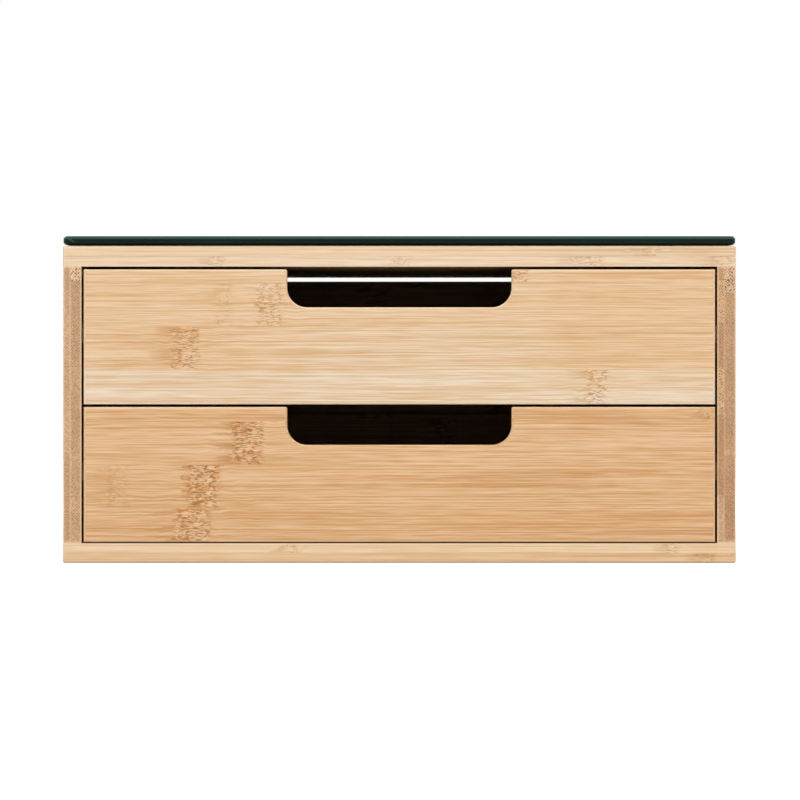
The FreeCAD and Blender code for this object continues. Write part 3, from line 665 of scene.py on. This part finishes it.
def add_tints(tree, board_place, tints, rag=0.03):
    """Long stretches of another tone over a material's colour, each (centre, half size, tint)."""
    shader = tree.nodes["Principled BSDF"]
    color = shader.inputs["Base Color"].links[0].from_socket
    for centre, half_size, tint in tints:
        found = find_spot(tree, board_place, centre, half_size, rag)
        color = lay_over(tree, found["Mask"], TINT_STRENGTH, color, tint, "MULTIPLY")
    feed(tree, color, shader.inputs["Base Color"])


print("knuckles ready")

# %% [markdown]
# ## Drawer fronts
#
# The fronts are what one looks at. Their strips lie flat, 20 mm wide, and the photograph gives the height
# of each glue line and the place of each knuckle. The upper front is paler, with an almost white strip at
# its lower edge; the lower one is honey-coloured with darker streaks right of its middle.
#
# A knuckle is given by its place along the front, its height from a glue line, half its length and its
# strength. A tint is given by its place, its height, half its length, half its height and its colour.

# %% What the photograph shows on the fronts
FRONTS = {
    "upper": {
        "glue line": 0.0889,
        "seed": 3.0,
        "knuckles": [
            (-0.0605, 0.0300, 0.0070, 0.62),
            (-0.0810, 0.0300, 0.0050, 0.22),
            (-0.0985, 0.0100, 0.0075, 0.70),
            (0.0545, 0.0500, 0.0055, 0.75),
            (0.0905, -0.0100, 0.0060, 0.65),
        ],
        "tints": [
            (-0.110, 0.0100, 0.030, 0.0100, paint(252, 248, 240)),
            (0.110, 0.0200, 0.050, 0.0300, paint(253, 248, 240)),
            (-0.110, 0.0400, 0.050, 0.0100, paint(253, 249, 242)),
            (0.000, -0.0100, 0.300, 0.0100, paint(257, 270, 287)),
            (0.010, 0.0100, 0.070, 0.0100, paint(255, 261, 268)),
        ],
    },
    "lower": {
        "glue line": 0.0252,
        "seed": 8.0,
        "knuckles": [
            (-0.0700, 0.0300, 0.0080, 1.0),
            (-0.0905, 0.0100, 0.0085, 1.0),
            (-0.0955, -0.0100, 0.0095, 1.0),
            (-0.1300, 0.0100, 0.0060, 0.25),
            (0.1428, 0.0500, 0.0050, 0.6),
        ],
        "tints": [
            (0.060, 0.0130, 0.040, 0.0040, paint(246, 238, 226)),
            (0.080, -0.0060, 0.080, 0.0050, paint(252, 246, 238)),
        ],
    },
}
print("fronts:", ", ".join(FRONTS))

# %% [markdown]
# Each row of numbers becomes a spot in the front's material. The spots reach right through the board, so a
# knuckle that shows outside also shows inside the drawer, as it would in wood.

# %% Drawer fronts
HALF_STRIP = STRIP / 2
RIGHT_THROUGH = 0.01
FRONT_PLY = 0.0045
for level, front in FRONTS.items():
    node = f"{level}_drawer_front"
    low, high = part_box(node)
    middle = (low.y + high.y) / 2
    shift = (0, -front["glue line"], -middle)
    material, tree, board_place, wood = bamboo_material(
        f"bamboo_{level}_front", "X", "Z", front["seed"], level, FRONT_PLY, shift, low, high
    )
    knuckles = [
        ((x, z, 0), (half, HALF_STRIP, RIGHT_THROUGH), strength) for x, z, half, strength in front["knuckles"]
    ]
    tints = [
        ((x, z, 0), (half_x, half_z, RIGHT_THROUGH), tint) for x, z, half_x, half_z, tint in front["tints"]
    ]
    add_spots(tree, board_place, wood, knuckles)
    add_tints(tree, board_place, tints)
    wear(node, material)
    print(node, "has", len(knuckles), "knuckles")

# %% [markdown]
# ## Base and top panel
#
# These boards lie flat with their grain from left to right, so their front edges show two plies, one on the
# other. The knuckles there are cut through and look small. In each edge one ply is a shade warmer than the
# other, and so is the right end. Behind the first strip come the random knuckles.
#
# A knuckle here is given by its place from left to right, its height, half its length and its strength.

# %% What the photograph shows on the edges of base and top
PANELS = {
    "top_panel": {
        "seed": 21.0,
        "ply": 0.00475,
        "half ply": 0.0024,
        "warm ply": 1.5,
        "warmth": paint(253, 250, 244),
        "knuckles": [
            (-0.0850, 0.1388, 0.0040, 0.36),
            (0.0010, 0.1388, 0.0050, 0.30),
            (0.0870, 0.1388, 0.0080, 0.40),
            (0.1160, 0.1436, 0.0050, 0.30),
            (0.1480, 0.1388, 0.0050, 0.36),
        ],
    },
    "base_panel": {
        "seed": 34.0,
        "ply": 0.0045,
        "half ply": 0.0022,
        "warm ply": 0.5,
        "warmth": paint(246, 235, 217),
        "knuckles": [
            (-0.0500, 0.0068, 0.0050, 0.36),
            (0.1255, 0.0068, 0.0040, 0.40),
            (0.1410, 0.0022, 0.0055, 0.36),
        ],
    },
}
print("panels:", ", ".join(PANELS))

# %% [markdown]
# Only the knuckles of the first strip are known. A mask keeps the random rows out of that strip: it is 0
# in front of the first glue line and 1 behind it.

# %% Base and top panel
STRIPS_START = 0.1640
NEAR_FRONT = STRIPS_START - 0.155
AT_FRONT = 0.004
for node, panel in PANELS.items():
    seed, ply = panel["seed"], panel["ply"]
    low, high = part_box(node)
    tone = node.replace("_panel", "")
    material, tree, board_place, wood = bamboo_material(
        f"bamboo_{node}", "X", "Y", seed, tone, ply, (0, STRIPS_START, -low.z), low, high
    )
    behind = ease(tree, split(tree, board_place)[1], STRIP - 0.0002, STRIP + 0.0002)
    found = find_rows(tree, board_place, ply, 0.27, seed)
    mask = times(tree, times(tree, found["Mask"], 0.55), behind)
    halo = times(tree, found["Halo"], behind)
    knuckles = [
        ((x, NEAR_FRONT, z - low.z), (half, 0.01, panel["half ply"]), strength)
        for x, z, half, strength in panel["knuckles"]
    ]
    add_spots(tree, board_place, wood, knuckles, mask, halo, found["Side"])
    tints = [
        ((0, AT_FRONT, ply * panel["warm ply"]), (0.3, 0.01, ply / 2), panel["warmth"]),
        ((0.155, AT_FRONT, ply), (0.030, 0.01, ply * 1.1), paint(254, 250, 244)),
    ]
    add_tints(tree, board_place, tints)
    wear(node, material)
    print(node, "has", len(knuckles), "knuckles along its front edge")

# %% [markdown]
# ## Side panels
#
# The sides' grain runs from front to back, so their front edges are cut ends: brown, speckled, with a glue
# line every 20 mm. The ply on the left is the thinner one in both. Near the top, a knuckle lies just behind
# the cut, and the dots are darker there.
#
# The photograph also gives the tone of each stretch of these edges: where its middle lies, half its height,
# its ply and its tint. A ply is the place of its middle, counted from the glue line between the plies, and
# half its thickness. The tints reach only a millimetre back, so they don't run round the corner.

# %% What the photograph shows on the side panels' front edges
SIDE_PLY = 0.0056
THICK_PLY = (0.0028, 0.0029)
THIN_PLY = (-0.0016, 0.0017)
SIDES = {
    "left_side_panel": {
        "seed": 41.0,
        "thin ply": 0.0034,
        "half knuckle": 0.0034,
        "tints": [
            (0.0980, 0.0580, THICK_PLY, paint(248, 246, 243)),
            (0.0196, 0.0196, THIN_PLY, paint(247, 239, 233)),
        ],
    },
    "right_side_panel": {
        "seed": 57.0,
        "thin ply": 0.0032,
        "half knuckle": 0.0060,
        "tints": [
            (0.0980, 0.0580, THICK_PLY, paint(238, 230, 225)),
            (0.0200, 0.0200, THICK_PLY, paint(234, 223, 218)),
            (0.0392, 0.0192, THIN_PLY, paint(231, 215, 201)),
            (0.0980, 0.0400, THIN_PLY, paint(242, 232, 217)),
        ],
    },
}
print("sides:", ", ".join(SIDES))

# %% [markdown]
# The random rows cover the whole panel, and the knuckle behind the cut end is added to them. Where two
# masks overlap, the higher one counts.

# %% Side panels
LOWEST_GLUE_LINE = 0.0104
KNUCKLE_TOP = 0.1364 - LOWEST_GLUE_LINE
for node, panel in SIDES.items():
    low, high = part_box(node)
    shift = (0, -LOWEST_GLUE_LINE, -(low.x + panel["thin ply"]))
    material, tree, board_place, wood = bamboo_material(
        f"bamboo_{node}", "Y", "Z", panel["seed"], "side", SIDE_PLY, shift, low, high
    )
    half = panel["half knuckle"]
    behind_cut = (low.y, KNUCKLE_TOP - half, THICK_PLY[0])
    at_end = find_spot(tree, board_place, behind_cut, (0.003, half, THICK_PLY[1]), 0.0)
    found = find_rows(tree, board_place, SIDE_PLY, 0.29, panel["seed"])
    mask = calc(tree, "MAXIMUM", times(tree, found["Mask"], 0.6), at_end["Mask"])
    set_knuckles(tree, wood, mask, found["Halo"], found["Side"])
    tints = [
        ((low.y, height, middle), (0.001, half_height, half_ply), tint)
        for height, half_height, (middle, half_ply), tint in panel["tints"]
    ]
    add_tints(tree, board_place, tints, rag=0.0)
    wear(node, material)
    print(node, "front edge is", round((high.x - low.x) * 1000, 1), "mm wide")

# %% [markdown]
# ## Inside the box
#
# The back panel, the drawer boxes, the dividers and the runners are the same bamboo in thinner boards.
# Those over 6 mm thick have two plies, the others one. They get the random knuckles, each board with its
# own seed and its own shift, so that no two look alike.

# %% Back panel, drawer boxes, dividers and runners
TWO_PLIES_ABOVE = 0.006
inner_boards = [
    ("back_panel", "X", "Z"),
    ("lower_drawer_bottom", "Y", "X"),
    ("upper_drawer_bottom", "Y", "X"),
]
for level in ("lower", "upper"):
    inner_boards += [(f"{level}_{side}_runner", "Y", "Z") for side in ("left", "right")]
    inner_boards += [(f"{level}_drawer_{side}_side", "Y", "Z") for side in ("left", "right")]
    inner_boards.append((f"{level}_drawer_back", "X", "Z"))
    inner_boards += [(f"{level}_drawer_divider_{i}", "Y", "Z") for i in range(1, 6)]
for number, (node, grain_axis, across_axis) in enumerate(inner_boards):
    low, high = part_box(node)
    through_axis = "XYZ".replace(grain_axis, "").replace(across_axis, "").lower()
    near_face = getattr(low, through_axis)
    thickness = getattr(high, through_axis) - near_face
    ply = thickness / 2 if thickness > TWO_PLIES_ABOVE else thickness * 1.02
    seed = 60.0 + number * 3
    shift = (0.001 * seed, -0.0037 * number, -near_face + thickness * 0.005)
    material, tree, board_place, wood = bamboo_material(
        f"bamboo_{node}", grain_axis, across_axis, seed, "inner", ply, shift, low, high
    )
    found = find_rows(tree, board_place, ply, 0.25, seed)
    set_knuckles(tree, wood, times(tree, found["Mask"], 0.55), found["Halo"], found["Side"])
    wear(node, material)
print(len(inner_boards), "inner boards")

# %% [markdown]
# ## Glass
#
# The plate is clear glass with black paint on its underside. The edge's colour is partly the glass's own
# green and partly painted light: from the bottom up, a painted shade along the lower arris, deep green going
# to black, and a paler band along the upper arris, a painted highlight of the light from above. A paler
# green, a painted reflection, comes and goes along the length. At the left end a short green flash, a painted
# glint, crosses the edge. The black paint lets no light through, so an opaque shader with a clear coat does
# the job and stays simple. The coat lies on what faces up; the edge mirrors much less, because there one
# looks into the green of the glass.

# %% Tones of the glass edge
# The lowest tone is a painted shade, and the paler upper bands are painted highlights over the glass's green.
EDGE_BOTTOM_SHADE = paint(24, 14, 9)
EDGE_GREEN_AND_REFLECTIONS = [
    (0.10, 0.20, paint(22, 29, 26)),
    (0.36, 0.44, paint(6, 32, 24)),
    (0.64, 0.72, paint(56, 80, 72)),
    (0.82, 0.88, paint(44, 47, 47)),
]
glass, tree, shader, place = new_material("black_glass")
x, y, z = split(tree, place["Object"])
low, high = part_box("glass_top")
rise = calc(tree, "DIVIDE", calc(tree, "SUBTRACT", z, low.z), high.z - low.z)
edge = EDGE_BOTTOM_SHADE
for low_share, high_share, tone in EDGE_GREEN_AND_REFLECTIONS:
    edge = mix(tree, ease(tree, rise, low_share, high_share), edge, tone)
# A paler green that comes and goes along the edge: a painted reflection.
glow = noise(tree, join(tree, times(tree, x, 14), times(tree, y, 9), 0.0), detail=1)[0]
edge = lay_over(tree, ease(tree, glow, 0.42, 0.66), 0.30, edge, paint(24, 58, 49))
print("glass", round((high.z - low.z) * 1000, 1), "mm thick")

# %% [markdown]
# The flash, a painted glint, is a slanting line, and its mask comes from how far a point lies off it. The
# face is nearly black. Faint smudges make its shine a little uneven, as on glass that has been wiped.

# %% Flash in the edge, and the face
FLASH_SLOPE = 1.8
slant = calc(tree, "MULTIPLY_ADD", z, FLASH_SLOPE, x)
flash_place = low.x + 0.0016 + FLASH_SLOPE * (high.z - 0.0007)
from_flash = calc(tree, "ABSOLUTE", calc(tree, "SUBTRACT", slant, flash_place))
flash = times(tree, fade(tree, from_flash, 0.0004, 0.0012), ease(tree, rise, 0.2, 0.5))
# The flash is a painted glint of light.
edge = lay_over(tree, flash, 0.8, edge, paint(26, 88, 72))
up = split(tree, place["Normal"])[2]
feed(tree, mix(tree, ease(tree, up, 0.9, 0.98), edge, paint(9, 12, 11)), shader.inputs["Base Color"])
smudge = ease(tree, noise(tree, place["Object"], scale=22, detail=3)[0], 0.45, 0.75)
feed(tree, calc(tree, "MULTIPLY_ADD", smudge, 0.05, 0.035), shader.inputs["Roughness"])
shader.inputs["Specular IOR Level"].default_value = 0.05
feed(tree, times(tree, ease(tree, up, 0.88, 0.97), 0.6), shader.inputs["Coat Weight"])
shader.inputs["Coat Roughness"].default_value = 0.03
wear("glass_top", glass)
print("glass done")

# %% [markdown]
# ## Pads, steel and dowel wood
#
# The pads under the glass are clear and soft, with a slight milkiness. The screws are zinc-plated: a bluish
# grey with faint spangles. The dowels are plain beech with short dark flecks. In each of them a noise
# changes the colour and the shine together.

# %% Pads and steel
SPECKLED = {
    "clear_pad": (400, paint(176, 182, 180), paint(214, 218, 216), 0.20, 0.30, 0),
    "steel_screw": (1400, paint(168, 170, 172), paint(212, 214, 216), 0.22, 0.24, 1),
}
speckled = {}
for name, (scale, dark, light, spread, dullness, metallic) in SPECKLED.items():
    material, tree, shader, place = new_material(name)
    cloud = noise(tree, place["Object"], scale=scale)[0]
    feed(tree, mix(tree, cloud, dark, light), shader.inputs["Base Color"])
    feed(tree, calc(tree, "MULTIPLY_ADD", cloud, spread, dullness), shader.inputs["Roughness"])
    shader.inputs["Metallic"].default_value = metallic
    speckled[name] = material
wear("glass_pads", speckled["clear_pad"])
print("made", ", ".join(speckled))

# %% [markdown]
# Beech has a tree of its own, because its grain runs one way: both noises are drawn out along Y, the way
# that the dowels lie.

# %% Beech
beech, tree, shader, place = new_material("beech_dowel")
fleck = noise(tree, stretch(tree, place["Object"], (1800, 260, 1800)), detail=1)[0]
beech_grain = noise(tree, stretch(tree, place["Object"], (420, 20, 420)))[0]
beech_tone = mix(tree, beech_grain, paint(222, 190, 150), paint(204, 164, 122))
beech_tone = lay_over(tree, ease(tree, fleck, 0.6, 0.72), 0.5, beech_tone, paint(150, 104, 68))
feed(tree, beech_tone, shader.inputs["Base Color"])
feed(tree, calc(tree, "MULTIPLY_ADD", fleck, 0.2, 0.5), shader.inputs["Roughness"])
print("beech done")

# %% [markdown]
# ## Screws and dowels with Geometry Nodes
#
# The CAD model's screws and dowels are plain. Real ones have recesses, threads and flutes. They could be
# modelled and copied by hand, but what repeats is drawn once here and placed many times, by a tree with
# named sizes, so one tree serves both sizes of screw.
#
# Each set starts as a mesh of loose points, one where each screw's head sits. The tree builds one screw,
# puts a copy on every point, turns it the way it is driven, and makes the copies real.


# %% Helpers for Geometry Nodes
def new_tree(name, sizes):
    """An empty Geometry Nodes tree with named sizes, and the sockets at its start and end."""
    tree = bpy.data.node_groups.new(name, "GeometryNodeTree")
    tree.interface.new_socket("Points", in_out="INPUT", socket_type="NodeSocketGeometry")
    for label, (kind, value) in sizes.items():
        tree.interface.new_socket(label, in_out="INPUT", socket_type=kind).default_value = value
    tree.interface.new_socket("Material", in_out="INPUT", socket_type="NodeSocketMaterial")
    tree.interface.new_socket("Pieces", in_out="OUTPUT", socket_type="NodeSocketGeometry")
    start = tree.nodes.new("NodeGroupInput")
    end = tree.nodes.new("NodeGroupOutput")
    return tree, start.outputs, end.inputs


def step(tree, kind, values, **settings):
    """Places one node with its settings and inputs, and gives back its first output."""
    node = tree.nodes.new(kind)
    for label, value in settings.items():
        setattr(node, label, value)
    for label, value in values.items():
        feed(tree, value, node.inputs[label])
    return node.outputs[0]


def raised(tree, part, height):
    """A part moved up by a height."""
    return step(
        tree, "GeometryNodeTransform", {"Geometry": part, "Translation": join(tree, 0.0, 0.0, height)}
    )


def place_copies(tree, points, piece, material, end):
    """Puts a copy of the piece on each point, turned along the point's way, and makes the copies real."""
    way = step(tree, "GeometryNodeInputNamedAttribute", {"Name": "way"}, data_type="FLOAT_VECTOR")
    turn = step(tree, "FunctionNodeAlignRotationToVector", {"Vector": way}, axis="Z")
    copies = step(
        tree, "GeometryNodeInstanceOnPoints", {"Points": points, "Instance": piece, "Rotation": turn}
    )
    real = step(tree, "GeometryNodeRealizeInstances", {"Geometry": copies})
    feed(tree, step(tree, "GeometryNodeSetMaterial", {"Geometry": real, "Material": material}), end["Pieces"])


print("Geometry Nodes helpers ready")

# %% [markdown]
# The screw is a cone for the head, with a cross cut out of it, a thin core, a ridge that winds around the
# core for the thread, and a point. All of it grows along +Z from the middle of the head's face. The cross
# is two bars that are taken away from the cone, one after the other.

# %% Tree: countersunk screw, its head
screw_tree, given, result = new_tree(
    "Countersunk screw",
    {
        "Head radius": (FLOAT, 0.003),
        "Shank radius": (FLOAT, 0.0016),
        "Length": (FLOAT, 0.030),
        "Pitch": (FLOAT, 0.0015),
    },
)
tree = screw_tree
neck = calc(tree, "SUBTRACT", given["Head radius"], given["Shank radius"])
head = step(
    tree,
    "GeometryNodeMeshCone",
    {
        "Vertices": 32,
        "Radius Top": given["Shank radius"],
        "Radius Bottom": given["Head radius"],
        "Depth": neck,
    },
)
arm = times(tree, given["Head radius"], 1.05)
slot_width = times(tree, given["Head radius"], 0.24)
slot_depth = times(tree, neck, 1.2)
for size in (join(tree, arm, slot_width, slot_depth), join(tree, slot_width, arm, slot_depth)):
    cut = tree.nodes.new("GeometryNodeMeshBoolean")
    cut.operation = "DIFFERENCE"
    cut.solver = "EXACT"
    feed(tree, head, cut.inputs["Mesh 1"])
    feed(tree, step(tree, "GeometryNodeMeshCube", {"Size": size}), cut.inputs["Mesh 2"])
    head = cut.outputs[0]
print(len(tree.nodes), "nodes so far")

# %% [markdown]
# The thread could be cut into the core, but a ridge laid around it looks the same and needs far fewer
# faces. The ridge is a small triangle, swept along a spiral.

# %% Tree: countersunk screw, core, point and thread
core_radius = times(tree, given["Shank radius"], 0.74)
tip = times(tree, given["Shank radius"], 2)
core_length = calc(tree, "SUBTRACT", calc(tree, "SUBTRACT", given["Length"], neck), tip)
core = step(
    tree,
    "GeometryNodeMeshCone",
    {"Vertices": 20, "Radius Top": core_radius, "Radius Bottom": core_radius, "Depth": core_length},
)
point = step(
    tree,
    "GeometryNodeMeshCone",
    {"Vertices": 20, "Radius Top": 0.0001, "Radius Bottom": core_radius, "Depth": tip},
)
ridge = times(tree, given["Shank radius"], 0.26)
spiral = step(
    tree,
    "GeometryNodeCurveSpiral",
    {
        "Resolution": 12,
        "Rotations": calc(tree, "DIVIDE", core_length, given["Pitch"]),
        "Start Radius": core_radius,
        "End Radius": core_radius,
        "Height": calc(tree, "SUBTRACT", core_length, ridge),
    },
)
profile = step(tree, "GeometryNodeCurvePrimitiveCircle", {"Resolution": 3, "Radius": ridge})
thread = step(tree, "GeometryNodeCurveToMesh", {"Curve": spiral, "Profile Curve": profile, "Fill Caps": True})
core = raised(tree, core, neck)
point = raised(tree, point, calc(tree, "SUBTRACT", given["Length"], tip))
thread = raised(tree, thread, neck)
screw = tree.nodes.new("GeometryNodeJoinGeometry")
for part in (head, core, point, thread):
    feed(tree, part, screw.inputs[0])
place_copies(tree, given["Points"], screw.outputs[0], given["Material"], result)
print(len(tree.nodes), "nodes in", tree.name)

# %% [markdown]
# A dowel is a fluted rod: the flutes let the glue out as it is pressed in. A star with blunt points, swept
# along a short line that thins at both ends, gives the shape.

# %% Tree: fluted dowel
dowel_tree, given, result = new_tree(
    "Fluted dowel",
    {
        "Radius": (FLOAT, 0.0025),
        "Length": (FLOAT, 0.018),
        "Flutes": ("NodeSocketInt", 16),
        "End": (FLOAT, 0.8),
    },
)
tree = dowel_tree
line = step(tree, "GeometryNodeCurvePrimitiveLine", {"End": join(tree, 0.0, 0.0, given["Length"])})
line = step(tree, "GeometryNodeResampleCurve", {"Curve": line, "Count": 37})
to_end = calc(tree, "PINGPONG", step(tree, "GeometryNodeSplineParameter", {}), 0.5)
body = step(
    tree,
    "ShaderNodeMapRange",
    {"Value": to_end, "From Min": 0.0, "From Max": 0.028, "To Min": given["End"], "To Max": 1.0},
)
line = step(tree, "GeometryNodeSetCurveRadius", {"Curve": line, "Radius": body})
inner_radius = times(tree, given["Radius"], 0.93)
star = step(
    tree,
    "GeometryNodeCurveStar",
    {"Points": given["Flutes"], "Inner Radius": inner_radius, "Outer Radius": given["Radius"]},
)
rod = step(tree, "GeometryNodeCurveToMesh", {"Curve": line, "Profile Curve": star, "Fill Caps": True})
place_copies(tree, given["Points"], rod, given["Material"], result)
print(len(tree.nodes), "nodes in", tree.name)

# %% [markdown]
# The points come from the CAD pieces' own boxes, so a screw drawn here sits exactly where the CAD screw
# was. The CAD pieces are twelve-sided, with a flat side towards each wall of their box, so the box is a
# little narrower than the circle. The finished set is an ordinary mesh, and takes the CAD piece's place in
# the picture.


# %% From points to finished sets
def flat_reach(radius):
    """How far a twelve-sided piece reaches on its flat sides."""
    return radius * math.cos(math.radians(15))


def make_set(name, node, body, tree, points, sizes, material):
    """A set of equal pieces on points, each (place, way), that stands for a CAD piece."""
    mesh = bpy.data.meshes.new(name)
    mesh.from_pydata([place for place, way in points], [], [])
    ways = mesh.attributes.new("way", "FLOAT_VECTOR", "POINT")
    for value, (place, way) in zip(ways.data, points):
        value.vector = way
    starter = bpy.data.objects.new(name + "_points", mesh)
    bpy.context.scene.collection.objects.link(starter)
    modifier = starter.modifiers.new("pieces", "NODES")
    modifier.node_group = tree
    sockets = {item.name: item.identifier for item in tree.interface.items_tree if item.in_out == "INPUT"}
    for label, value in {**sizes, "Material": material}.items():
        modifier[sockets[label]] = value
    bpy.context.view_layer.update()
    drawn = starter.evaluated_get(bpy.context.evaluated_depsgraph_get())
    finished = bpy.data.objects.new(name, bpy.data.meshes.new_from_object(drawn))
    bpy.context.scene.collection.objects.link(finished)
    bpy.data.objects.remove(starter)
    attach(finished, body)
    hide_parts(node)
    print(name, len(points), "pieces,", len(finished.data.polygons), "faces")


print("sets can be made")

# %% [markdown]
# Six screws come up through the base and six go down through the top, three into each side panel. Those in
# the top are hidden under the glass.

# %% Screws of base and top
steel = speckled["steel_screw"]
HEAD, SHANK = 0.003, 0.0016
low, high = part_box("base_screws")
edge = flat_reach(HEAD)
screw_x = high.x - edge
screw_rows = (low.y + edge, 0.0, high.y - edge)
case_sizes = {"Head radius": HEAD, "Shank radius": SHANK, "Length": 0.030, "Pitch": 0.0017}
for name, height, way in (("base", low.z, 1), ("top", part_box("top_screws")[1].z, -1)):
    points = [((x, y, height), (0, 0, way)) for x in (-screw_x, screw_x) for y in screw_rows]
    make_set(
        f"{name}_screw_set", f"{name}_screws", "case", screw_tree, points, case_sizes, steel
    )

# %% [markdown]
# The runners hang on smaller screws, driven sideways into the side panels. Their heads sit just below the
# runners' faces.

# %% Screws of the runners
SMALL_HEAD, SMALL_SHANK = 0.0024, 0.0012
low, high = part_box("runner_screws")
edge = flat_reach(SMALL_HEAD)
runner_face = abs(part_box("lower_left_runner")[1].x) + 0.0003
points = [
    ((side * runner_face, y, z), (side, 0, 0))
    for side in (-1, 1)
    for y in (low.y + edge, (low.y + high.y) / 2, high.y - edge)
    for z in (low.z + edge, high.z - edge)
]
small_sizes = {"Head radius": SMALL_HEAD, "Shank radius": SMALL_SHANK, "Length": 0.011, "Pitch": 0.0012}
make_set("runner_screw_set", "runner_screws", "case", screw_tree, points, small_sizes, steel)

# %% [markdown]
# Four dowels in each drawer hold the front to the two sides, so they lie along Y.

# %% Dowels of both drawers
DOWEL = 0.0025
edge = flat_reach(DOWEL)
for level in ("lower", "upper"):
    name, node, body = f"{level}_dowel_set", f"{level}_drawer_dowels", f"{level}_drawer"
    low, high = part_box(node)
    points = [
        ((x, low.y, z), (0, 1, 0))
        for x in (low.x + edge, high.x - edge)
        for z in (low.z + edge, high.z - edge)
    ]
    dowel_sizes = {"Radius": DOWEL, "Length": high.y - low.y}
    make_set(name, node, body, dowel_tree, points, dowel_sizes, beech)

# %% [markdown]
# ## Floor, backdrop and light
#
# The photograph shows the box on pure white, in flat light. The world is white where the camera, a mirror
# or glass sees it, and gives off less light than that onto the box, so that the rest can come from
# softboxes. They hang high: light that came in level would shine through the finger cut-outs onto the
# drawers' backs, and in the photograph it is black in there.

# %% World
WHITE = (1, 1, 1, 1)
GLOW_OF_ROOM = 0.22


def seen_by(tree, *kinds):
    """1 for rays of the camera and of the named kinds, 0 for the light that falls on things."""
    rays = tree.nodes.new("ShaderNodeLightPath").outputs
    seen = rays["Is Camera Ray"]
    for kind in kinds:
        seen = calc(tree, "MAXIMUM", seen, rays[kind])
    return seen


world = bpy.data.worlds.new("studio")
bpy.context.scene.world = world
world.use_nodes = True
tree = world.node_tree
backdrop = tree.nodes["Background"]
seen = seen_by(tree, "Is Glossy Ray", "Is Transmission Ray")
backdrop.inputs["Color"].default_value = WHITE
feed(tree, calc(tree, "MULTIPLY_ADD", seen, 1 - GLOW_OF_ROOM, GLOW_OF_ROOM), backdrop.inputs["Strength"])
print("world ready")

# %% [markdown]
# The floor is matt paper that glows a little, so that it comes out as white as the backdrop in the picture,
# and is a shade darker only under and around the box. Its glow, too, is only for rays that look at it.

# %% Floor
bpy.ops.mesh.primitive_plane_add(size=12, location=(0, 0, -0.0002))
floor = bpy.context.active_object
floor.name = "floor"
paper, tree, shader, place = new_material("pale_floor")
shader.inputs["Base Color"].default_value = (0.7, 0.7, 0.7, 1)
shader.inputs["Roughness"].default_value = 0.9
shader.inputs["Specular IOR Level"].default_value = 0.0
shader.inputs["Emission Color"].default_value = WHITE
far_out = ease(tree, calc_vector(tree, "LENGTH", place["Object"]), 0.4, 1.6)
glow = calc(tree, "MULTIPLY_ADD", far_out, 0.7, 0.45)
feed(tree, times(tree, seen_by(tree, "Is Glossy Ray"), glow), shader.inputs["Emission Strength"])
floor.data.materials.append(paper)
print("floor ready")

# %% [markdown]
# A large light in front and one behind, two at the sides and one overhead give soft shadows all around. A
# small lamp would draw hard ones, and the photograph has none.


# %% Softboxes
def add_softbox(name, place, aim, width, depth, power):
    """A soft area light at place that points at aim."""
    light = bpy.data.lights.new(name, "AREA")
    light.shape = "RECTANGLE"
    light.size = width
    light.size_y = depth
    light.energy = power
    lamp = bpy.data.objects.new(name, light)
    lamp.location = place
    bpy.context.scene.collection.objects.link(lamp)
    way = [a - p for a, p in zip(aim, place)]
    flat = math.hypot(way[0], way[1])
    lamp.rotation_euler = (math.atan2(flat, -way[2]), 0, math.atan2(way[1], way[0]) - math.pi / 2)


BOX_MIDDLE = (0, 0, 0.08)
add_softbox("front_softbox", (0, -2.2, 1.7), BOX_MIDDLE, 2.4, 1.2, 55)
add_softbox("top_softbox", (0, 0.3, 2.4), (0, 0, 0.1), 2.2, 2.2, 14)
add_softbox("back_softbox", (0, 2.3, 1.8), BOX_MIDDLE, 2.0, 1.0, 26)
for label, side in (("left", -1), ("right", 1)):
    add_softbox(f"side_softbox_{label}", (2.4 * side, -0.3, 1.7), BOX_MIDDLE, 1.0, 1.6, 22)
print("lights ready")
